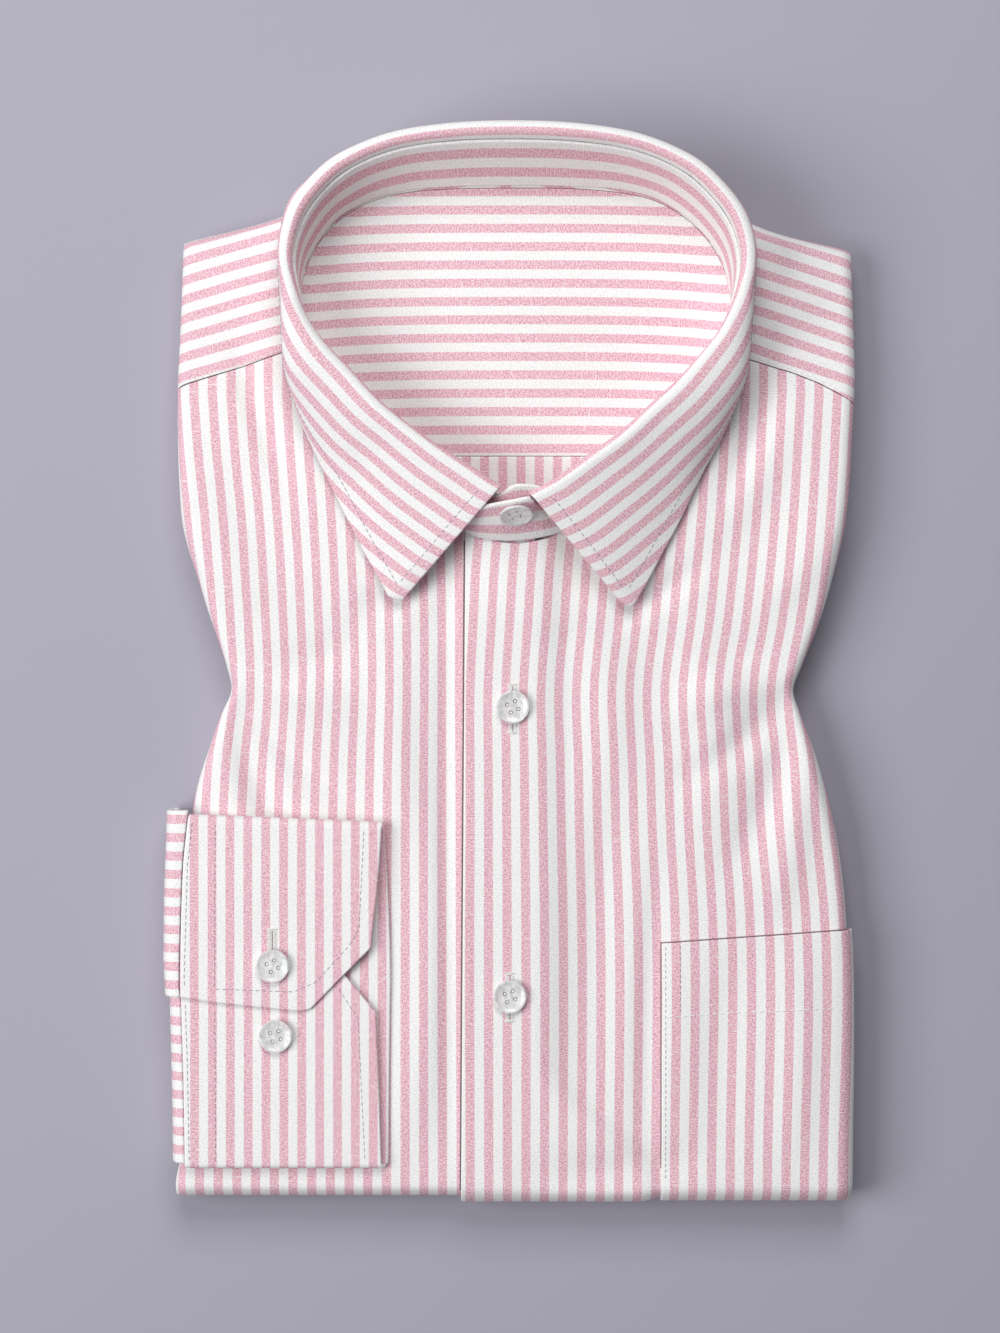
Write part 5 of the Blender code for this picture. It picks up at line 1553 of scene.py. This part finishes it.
def pearl():
    """Mother of pearl: clouded, milky and polished."""
    surface, tree = new_material("mother_of_pearl")
    place = node(tree, "ShaderNodeTexCoord").outputs["Object"]
    turned = node(tree, "ShaderNodeMapping", Vector=place, Scale=PEARL_STRETCH, Rotation=PEARL_TURN)
    cloud = node(tree, "ShaderNodeTexNoise", Vector=turned.outputs[0], Scale=1.0, Detail=3.0,
                 Distortion=1.6)
    tone = ranged(tree, cloud.outputs["Fac"], 0.35, 0.65, 0.0, 1.0)
    milk = mixed(tree, tone, colour("#c9cbcc"), colour("#efeeec"))
    tint = node(tree, "ShaderNodeTexNoise", Vector=turned.outputs[0], Scale=0.6, Detail=1.0)
    blush = ranged(tree, tint.outputs["Fac"], 0.5, 0.7, 0.0, 0.35)
    shell = mixed(tree, blush, milk, colour("#ead9dd"))
    rough = ranged(tree, cloud.outputs["Fac"], 0.3, 0.7, 0.3, 0.16)
    shader = node(tree, "ShaderNodeBsdfPrincipled", Base_Color=shell, Roughness=rough)
    shader.inputs["IOR"].default_value = 1.53
    shader.inputs["Coat Weight"].default_value = 0.3
    shader.inputs["Coat Roughness"].default_value = 0.08
    node(tree, "ShaderNodeOutputMaterial", Surface=shader.outputs[0])
    return surface


def thread(name, code):
    """Sewing thread: matt, with the fine ridges of its twist."""
    surface, tree = new_material(name)
    place = node(tree, "ShaderNodeTexCoord").outputs["Object"]
    twist = node(tree, "ShaderNodeTexWave", {"bands_direction": "DIAGONAL"}, Vector=place,
                 Scale=TWIST, Distortion=1.0)
    bump = node(tree, "ShaderNodeBump", Height=twist.outputs["Fac"], Strength=0.4, Distance=0.05 * MM)
    fuzz = node(tree, "ShaderNodeTexNoise", Vector=place, Scale=FUZZ)
    shade = ranged(tree, fuzz.outputs["Fac"], 0.3, 0.7, 0.82, 1.0)
    tone = mixed(tree, 1.0, colour(code), shade, how="MULTIPLY")
    shader = node(tree, "ShaderNodeBsdfPrincipled", Base_Color=tone, Roughness=0.7,
                  Normal=bump.outputs[0])
    shader.inputs["Sheen Weight"].default_value = 0.1
    node(tree, "ShaderNodeOutputMaterial", Surface=shader.outputs[0])
    return surface


nacre = pearl()
white_thread = thread("white_polyester_thread", "#f4f4f2")
# Painted shade: the topstitching is coloured grey for the shade in its needle holes and in the groove
# it sews into the cloth.
stitch_shade_thread = thread("thread_painted_grey_for_stitch_shade", "#a3a3a9")
# Painted shade: the dark, unlit gap under the placket's folded edge, drawn with the thread material.
gap_shade_paint = thread("painted_shade_under_edges", "#6d5c62")
# Painted shade, softer: the gap under the pocket's edges and the shade inside the buttonhole slits.
soft_shade = thread("shaded_folded_cotton", "#a08890")
print("thread and pearl ready")

# %% Buttons
BUTTON_RADIUS = 5.7
BUTTON_FOOT = 3.9      # radius of its underside
BUTTON_SLOPE = 1.1     # height of its sloping underside
BUTTON_WALL = 0.9      # and of its edge above that
BUTTON_RINGS = (       # from the rim inwards: width of each ring, and how far it goes down
    # width, depth
    (0.6, 0.0),
    (0.5, 0.22),
    (1.2, 0.3),
    (1.0, 0.08),
)
HOLE_RADIUS = 0.68
HOLE_OUT = 2.1         # middle of each hole from the middle of the button
HOLE_ANGLES = (45.0, 135.0, 225.0, 315.0)
HOLE_FACETS = 20
DRILL_LENGTH = 10.0
BUTTON_FACETS = 64
BUTTON_SOFT = 0.2      # width of its softened edges
BUTTON_SHARP = 20.0    # edges that turn more than this are softened, in degrees
BUTTON_LIFT = 0.25     # the thread holds it this far off the cloth
FACING_UP = 0.99       # a face whose normal is at least this steep looks up


def on_placket(x, y):
    """Height of the upper front's face."""
    return float(body_point(x, y, PLACKET_LIFT)[2])


BUTTONS = (
    # node, x, y, z of the underside, lean, swing, turn
    ("button_collar", 2.1, 53.3, 35.9, 58.0, 5.0, 24.0),
    ("button_front_upper", 1.1, -14.1, on_placket(1.1, -14.1) + BUTTON_LIFT, 0.0, 0.0, 24.0),
    ("button_front_lower", 0.1, -115.2, on_placket(0.1, -115.2) + BUTTON_LIFT, 0.0, 0.0, 18.0),
    ("button_cuff_upper", -82.5, -104.2, 26.05, 0.0, 0.0, 28.0),
    ("button_cuff_lower", -81.6, -128.8, 24.4, 0.0, 0.0, 15.0),
)


def select_top(mesh):
    """In edit mode, select the large face that looks up."""
    shape = bmesh.from_edit_mesh(mesh)
    top = max((f for f in shape.faces if f.normal.z > FACING_UP), key=lambda f: f.calc_area())
    for face in shape.faces:
        face.select = face == top
    bmesh.update_edit_mesh(mesh)


def holes_for(button):
    """Cut four holes through a button that lies flat."""
    for degrees in HOLE_ANGLES:
        angle = math.radians(degrees)
        place = (HOLE_OUT * MM * math.cos(angle), HOLE_OUT * MM * math.sin(angle), 0.0)
        bpy.ops.mesh.primitive_cylinder_add(vertices=HOLE_FACETS, radius=HOLE_RADIUS * MM,
                                            depth=DRILL_LENGTH * MM, location=place)
        drill = bpy.context.object
        cut = button.modifiers.new("hole", "BOOLEAN")
        cut.object = drill
        cut.solver = "EXACT"
        bpy.context.view_layer.objects.active = button
        bpy.ops.object.modifier_apply(modifier=cut.name)
        bpy.data.objects.remove(drill)


def turned_button(name):
    """A button that lies on the origin."""
    bpy.ops.object.select_all(action="DESELECT")
    bpy.ops.mesh.primitive_cone_add(vertices=BUTTON_FACETS, radius1=BUTTON_FOOT * MM,
                                    radius2=BUTTON_RADIUS * MM, depth=BUTTON_SLOPE * MM,
                                    location=(0.0, 0.0, BUTTON_SLOPE * MM / 2))
    button = bpy.context.object
    button.name = name
    bpy.ops.object.transform_apply()
    bpy.ops.object.mode_set(mode="EDIT")
    bpy.ops.mesh.select_mode(type="FACE")
    select_top(button.data)
    bpy.ops.mesh.extrude_region_move(TRANSFORM_OT_translate={"value": (0.0, 0.0, BUTTON_WALL * MM)})
    for width, depth in BUTTON_RINGS:
        bpy.ops.mesh.inset(thickness=width * MM, depth=-depth * MM)
    bpy.ops.object.mode_set(mode="OBJECT")
    holes_for(button)
    soften = button.modifiers.new("soft_edges", "BEVEL")
    soften.width = BUTTON_SOFT * MM
    soften.segments = 3
    soften.angle_limit = math.radians(BUTTON_SHARP)
    bpy.ops.object.modifier_apply(modifier=soften.name)
    button.data.shade_smooth()
    return button


def button_place(x, y, z, lean, swing, turn):
    """Turned about its own axis first, then leaned back, swung round and moved."""
    spun = Matrix.Rotation(math.radians(turn), 4, "Z")
    leaned = Matrix.Rotation(math.radians(lean), 4, "X")
    swung = Matrix.Rotation(math.radians(swing), 4, "Z")
    return Matrix.Translation((x * MM, y * MM, z * MM)) @ swung @ leaned @ spun


for name, *place in BUTTONS:
    button = turned_button(name + "_pearl")
    button.data.materials.append(nacre)
    button.data.transform(button_place(*place))
    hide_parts(name)
    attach(button, "root")
    print(button.name, "faces:", len(button.data.polygons))

# %% [markdown]
# ## Sewing
#
# All sewing is made of short tubes of thread: a curve object with a bevel holds many of them
# at once, and Convert turns it into one mesh. A stitch dips into the cloth at both ends, so
# its middle stands a little proud. Stitch lines follow the cloth at a fixed distance from a
# seam or an edge.

# %% Thread helpers
THREAD_RADIUS = 0.13
STITCH = 1.4           # length of one stitch that shows
STITCH_GAP = 0.9
STITCH_SINK = 0.14     # how far its ends dip into the cloth
STITCH_SHARES = (0.0, 0.18, 0.5, 0.82, 1.0)
STITCH_PROUD = 0.06    # how far its middle stands off the cloth
LINE_PLACES = 80       # places on a line of stitches


def tubes(name, lines, radius, surface):
    """Many short tubes as one mesh."""
    path = bpy.data.curves.new(name, "CURVE")
    path.dimensions = "3D"
    path.bevel_depth = radius * MM
    path.bevel_resolution = 1
    path.use_fill_caps = True
    for line in lines:
        spline = path.splines.new("POLY")
        spline.points.add(len(line) - 1)
        for point, place in zip(spline.points, line):
            point.co = (*(np.asarray(place) * MM), 1.0)
    thing = bpy.data.objects.new(name, path)
    bpy.context.collection.objects.link(thing)
    bpy.ops.object.select_all(action="DESELECT")
    thing.select_set(True)
    bpy.context.view_layer.objects.active = thing
    bpy.ops.object.convert(target="MESH")
    thing.data.materials.clear()
    thing.data.materials.append(surface)
    thing.data.shade_smooth()
    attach(thing, "root")
    print(name, "threads:", len(lines), "faces:", len(thing.data.polygons))
    return thing


def stitched(line, length=STITCH, gap=STITCH_GAP):
    """Split a line of places on the cloth into stitches that dip in at both ends."""
    line = np.asarray(line, float)
    run = run_along(line)
    count = int(run[-1] / (length + gap))
    stitches = []
    for i in range(count):
        start = i * (length + gap) + gap / 2
        at = start + np.array(STITCH_SHARES) * length
        points = points_at(at, run, line)
        points[[0, -1], 2] -= STITCH_SINK
        stitches.append(points)
    return stitches


def inset_line(grid, distance, backwards=False):
    """A line on a grid at a distance from its first or last row."""
    grid = grid[::-1] if backwards else grid
    run = line_lengths(grid, 0)
    return np.array([points_at(distance, run[:, j], grid[:, j]) for j in range(grid.shape[1])])


def on_body(places_on_cloth, lift):
    """A line through places on the folded body, lifted off it."""
    line = np.array(places_on_cloth, float)
    keys = np.linspace(0.0, 1.0, len(line))
    across, along = points_at(np.linspace(0.0, 1.0, LINE_PLACES), keys, line).T
    return body_point(across, along, lift)


print("thread helpers ready")

# %% Stitches of the collar
COLLAR_FRONT_INSET = 5.3
COLLAR_EDGE_INSET = 5.6


def nearest(line, other):
    """Which place of a line comes nearest to another line."""
    return int(np.argmin([np.min(np.linalg.norm(other - place, axis=1)) for place in line]))


def before(line, corner):
    """The part of a line down to where it comes near a corner."""
    return line[:int(np.argmin(np.linalg.norm(line - corner, axis=1))) + 1]


outer = moved_out(fall_face, -STITCH_PROUD)
edge_line = inset_line(outer, COLLAR_EDGE_INSET, backwards=True)
leaf = outer[len(SEAM_SHARES) + len(FOLD_TURNS):].transpose(1, 0, 2)
front_lines = [inset_line(leaf, COLLAR_FRONT_INSET, backwards=right) for right in (False, True)]
corners = [nearest(edge_line, line) for line in front_lines]
collar_lines = [edge_line[corners[0]:corners[1] + 1]]
collar_lines += [before(line, edge_line[corner]) for line, corner in zip(front_lines, corners)]
collar_stitches = [stitch for line in collar_lines for stitch in stitched(line)]
tubes("collar_topstitch", collar_stitches, THREAD_RADIUS, stitch_shade_thread)

# %% Stitches of the yoke and the pocket
YOKE_INSET = 1.0
YOKE_STITCH = (1.7, 0.9)       # length and gap
YOKE_STITCH_PROUD = 0.05
YOKE_STITCH_ENDS = (           # what shows of the seam, left and right of the collar
    (-116.0, -76.0),
    (79.0, 119.0),
)
YOKE_PLACES = 12
yoke_stitches = []
for start, end in YOKE_STITCH_ENDS:
    seam = [(x, float(yoke_seam(x)) + YOKE_INSET) for x in np.linspace(start, end, YOKE_PLACES)]
    yoke_stitches += stitched(on_body(seam, YOKE_STITCH_PROUD), *YOKE_STITCH)
tubes("yoke_topstitch", yoke_stitches, THREAD_RADIUS, white_thread)

POCKET_FACE = POCKET_GAP + PLY + STITCH_PROUD
POCKET_SIDE_STITCH = (1.0, 1.0)
POCKET_HEM_STITCH = (1.6, 1.1)
POCKET_HEM_RADIUS = 0.22       # its white thread is thicker
POCKET_LINES = (       # its double side seam and its hem
    ((54.5, -97.6), (54.5, -180.0)),
    ((59.6, -97.2), (59.6, -122.4)),
    ((54.5, -122.7), (81.1, -120.9), (113.9, -119.3)),
)
pocket_lines = [on_body(line, POCKET_FACE) for line in POCKET_LINES]
side_stitches = [stitch for line in pocket_lines[:2] for stitch in stitched(line, *POCKET_SIDE_STITCH)]
tubes("pocket_side_stitches", side_stitches, THREAD_RADIUS, stitch_shade_thread)
hem_stitches = stitched(pocket_lines[2], *POCKET_HEM_STITCH)
tubes("pocket_hem_stitches", hem_stitches, POCKET_HEM_RADIUS, white_thread)

# %% [markdown]
# ## Gaps under folded edges
#
# Where a folded edge lies on the cloth below, a narrow gap stays between them that gets no
# light. Its shade is painted, as a dark thread that runs along the edge, half under it.

# %% Gaps
GAP_INSET = 0.2
PLACKET_GAP_PLACES = (44.0, -50.0, -130.0, -184.0)
PLACKET_GAP_LIFT = 0.3
PLACKET_GAP_RADIUS = 0.34
POCKET_GAP_END = -186.0
POCKET_GAP_LIFT = 0.35
POCKET_GAP_RADIUS = 0.2
placket_gap_shade = [(PLACKET_EDGE + float(placket_lean(y)) - GAP_INSET, y) for y in PLACKET_GAP_PLACES]
pocket_corner = (POCKET_SIDE - GAP_INSET, POCKET_TOP[0][1] + GAP_INSET)
pocket_side_gap = [(POCKET_SIDE - GAP_INSET, POCKET_GAP_END), pocket_corner]
pocket_top_gap = [pocket_corner] + [(x, y + GAP_INSET) for x, y in POCKET_TOP[1:]]
pocket_gaps = [on_body(line, POCKET_GAP_LIFT) for line in (pocket_side_gap, pocket_top_gap)]
# Painted shade along the upper front's folded edge.
tubes("placket_gap_shade", [on_body(placket_gap_shade, PLACKET_GAP_LIFT)], PLACKET_GAP_RADIUS, gap_shade_paint)
# Painted shade along the pocket's side and top edges.
tubes("pocket_gap_shade", pocket_gaps, POCKET_GAP_RADIUS, soft_shade)

# %% Stitches of the cuff
CUFF_PLACES = 60       # places on a line of stitches


def on_cuff(line, upper):
    """A line on the cuff's upper or lower flap."""
    line = np.array(line, float)
    run = run_along(line)
    x, y = points_at(np.linspace(0.0, 1.0, CUFF_PLACES) * run[-1], run, line).T
    roll_radius = CUFF_ROLL_FAR if upper else CUFF_ROLL_NEAR
    crease = cuff_crease(x, y) if upper else np.zeros(len(x))
    return np.stack([x, y, CUFF_BASE + 2 * roll_radius + crease + STITCH_PROUD], axis=-1)


UPPER_FLAP_LINES = (
    ((-50.8, -57.0), (-52.5, -91.4), (-56.0, -97.3), (-67.5, -109.9), (-75.5, -113.3),
     (-103.0, -112.3)),
    ((-110.6, -54.0), (-112.3, -70.0), (-113.4, -107.8), (-113.2, -113.5)),
    ((-102.6, -54.5), (-102.9, -112.5)),
)
LOWER_FLAP_LINES = (
    ((-59.9, -112.1), (-52.9, -122.9), (-50.5, -173.0)),
    ((-113.2, -117.5), (-112.5, -137.0), (-111.8, -173.0)),
    ((-102.9, -120.0), (-102.6, -173.0)),
)
cuff_lines = [on_cuff(line, True) for line in UPPER_FLAP_LINES]
cuff_lines += [on_cuff(line, False) for line in LOWER_FLAP_LINES]
cuff_stitches = [stitch for line in cuff_lines for stitch in stitched(line)]
tubes("cuff_topstitch", cuff_stitches, THREAD_RADIUS, stitch_shade_thread)

# %% Buttonholes
BUTTONHOLES = (        # middle of each slit, and its far and near end
    # x, far y, near y, on the cuff
    (1.1, -5.8, -23.6, False),
    (0.1, -106.8, -124.3, False),
    (-82.7, -91.1, -109.0, True),
)
WHIP_PITCH = 0.5       # distance between the stitches that bind a slit
WHIP_WIDTH = 1.35
WHIP_SLANT = 0.2       # how far its outer end lies up the slit
WHIP_RISE = 0.15       # height of its middle
WHIP_SINK = 0.1        # how far its outer end dips into the cloth
SLIT_WIDTH = 0.5
SLIT_END = 1.0         # length of the bars at each end of the slit
SLIT_PLACES = 12
SLIT_RADIUS = 0.14
BAR_WIDTH = 1.8
BAR_PLACES = (0.2, 0.7)        # distance of the two bars from the end
WHIP_RADIUS = 0.22


def height_at(x, y, cuffed):
    """Height of the cloth round a buttonhole."""
    return float(on_cuff(((x, y), (x, y - 0.1)), True)[0, 2]) if cuffed else on_placket(x, y)


def buttonhole(x, far, near, cuffed):
    """Stitches bound closely round a slit, and a bar across each of its ends."""
    bars = []
    for y in np.arange(near + SLIT_END, far - SLIT_END, WHIP_PITCH):
        z = height_at(x, y, cuffed)
        for side in (-1.0, 1.0):
            inner = x + side * SLIT_WIDTH / 2
            outer_end = x + side * (SLIT_WIDTH / 2 + WHIP_WIDTH)
            bars.append([(inner, y, z),
                         ((inner + outer_end) / 2, y + WHIP_SLANT / 2, z + WHIP_RISE),
                         (outer_end, y + WHIP_SLANT, z - WHIP_SINK)])
    bar_lines = [near + place for place in BAR_PLACES] + [far - place for place in BAR_PLACES[::-1]]
    for y in bar_lines:
        z = height_at(x, y, cuffed)
        bars.append([(x - BAR_WIDTH, y, z - WHIP_SINK), (x - BAR_WIDTH / 2, y, z + WHIP_RISE),
                     (x + BAR_WIDTH / 2, y, z + WHIP_RISE), (x + BAR_WIDTH, y, z - WHIP_SINK)])
    return bars


bars = [bar for hole in BUTTONHOLES for bar in buttonhole(*hole)]
tubes("buttonhole_stitches", bars, WHIP_RADIUS, white_thread)
# The slits are painted shade: dark tubes where the cut opens onto unlit cloth below.
slit_shade_lines = []
for x, far, near, cuffed in BUTTONHOLES:
    along = np.linspace(near + SLIT_END, far - SLIT_END, SLIT_PLACES)
    slit_shade_lines.append([(x, y, height_at(x, y, cuffed)) for y in along])
tubes("buttonhole_slit_shade", slit_shade_lines, SLIT_RADIUS, soft_shade)

# %% Button threads
THREAD_RADIUS_IN_HOLE = 0.5
THREAD_DEPTHS = (0.1, 0.6, 1.15)       # from under the button up into each hole
shanks = []
for name, *place in BUTTONS:
    for degrees in HOLE_ANGLES:
        angle = math.radians(degrees)
        strand = []
        for depth in THREAD_DEPTHS:
            spot = Vector((HOLE_OUT * math.cos(angle), HOLE_OUT * math.sin(angle), depth)) * MM
            strand.append(np.array(button_place(*place) @ spot) / MM)
        shanks.append(strand)
tubes("button_threads", shanks, THREAD_RADIUS_IN_HOLE, white_thread)

# %% [markdown]
# ## Sheets of cloth
#
# Each piece of cloth was cut flat. A table gives the size that each was cut to, as far as it
# shows, and the cell prints it beside the area of one side of the piece.

# %% Sheets
SHEETS = (
    # piece, width, length, area, held, rests on
    (front_right, 0.13, 0.285, None, "folded", "folded_layers"),
    (front_left, 0.14, 0.285, None, "folded", "folded_layers"),
    (yoke, 0.25, 0.085, 0.0088, "folded", "folded_layers"),
    (lining, 0.15, 0.10, None, "laid", "folded_layers"),
    (back, 0.09, 0.03, None, "laid", "folded_layers"),
    (fall, 0.46, 0.07, 0.0190, "folded", "collar_stand"),
    (band, 0.46, 0.03, 0.0115, "folded", "folded_layers"),
    (pocket, 0.085, 0.10, None, "laid", "front_left"),
    (cuff, 0.07, 0.26, None, "folded", "front_right"),
    (sleeve, 0.12, 0.055, None, "folded", "folded_layers"),
)
for piece, width, length, area, held, rest in SHEETS:
    one_side = sum(face.area for face in piece.data.polygons) / 2
    print(piece.name, "area", round(one_side, 4), "cut", area or round(width * length, 4))


# %% [markdown]
# ## The floor, the lights and the camera
#
# The shirt lies on matt board of one pale colour.

# %% Floor
def floor_material():
    """Matt paint of one pale colour."""
    surface, tree = new_material("matt_painted_board")
    shader = node(tree, "ShaderNodeBsdfPrincipled", Base_Color=colour("#a8a6b3"), Roughness=0.9)
    node(tree, "ShaderNodeOutputMaterial", Surface=shader.outputs[0])
    return surface


FLOOR_SIZE = 6.0
bpy.ops.object.select_all(action="DESELECT")
bpy.ops.mesh.primitive_plane_add(size=FLOOR_SIZE, location=(0.0, 0.0, 0.0))
floor = bpy.context.object
floor.name = "floor"
floor.data.materials.append(floor_material())

# %% [markdown]
# Soft light comes from a window past the collar and from a wide ceiling light on the left,
# and the pale room fills the shadows. The view transform is Standard, because white cloth
# has to stay white, and other transforms make it grey.

# %% Lights
ROOM_STRENGTH = 0.2


def soft_light(name, size, power, place):
    """A square studio light that shines at the middle of the shirt."""
    lamp = bpy.data.lights.new(name, "AREA")
    lamp.shape = "SQUARE"
    lamp.size = size
    lamp.energy = power
    thing = bpy.data.objects.new(name, lamp)
    bpy.context.collection.objects.link(thing)
    thing.location = place
    thing.rotation_euler = (-thing.location).to_track_quat("-Z", "Y").to_euler()
    return thing


soft_light("window_side", size=0.7, power=9.4, place=(0.02, 0.85, 1.1))
soft_light("ceiling", size=1.1, power=21.4, place=(-1.15, -0.15, 1.3))
world = bpy.data.worlds.new("pale_room")
world.use_nodes = True
background = world.node_tree.nodes["Background"]
background.inputs["Color"].default_value = colour("#eef0f4")
background.inputs["Strength"].default_value = ROOM_STRENGTH
bpy.context.scene.world = world
bpy.context.scene.view_settings.view_transform = "Standard"

# %% [markdown]
# The camera hangs over the shirt and looks straight down. The focal length follows from its
# height and from the width of floor that the frame takes in.

# %% Camera
CAMERA_HEIGHT = 1150.0
CAMERA_X = -3.4
FRAME_WIDTH_ON_FLOOR = 356.19
SENSOR = 36.0
CLIP_START = 50.0
lens = bpy.data.cameras.new("camera")
lens.sensor_fit = "HORIZONTAL"
lens.sensor_width = SENSOR
lens.lens = SENSOR * CAMERA_HEIGHT / FRAME_WIDTH_ON_FLOOR
lens.clip_start = CLIP_START * MM
camera = bpy.data.objects.new("camera", lens)
bpy.context.collection.objects.link(camera)
camera.location = (CAMERA_X * MM, 0.0, CAMERA_HEIGHT * MM)
bpy.context.scene.camera = camera
print("lens:", round(lens.lens, 1), "mm")
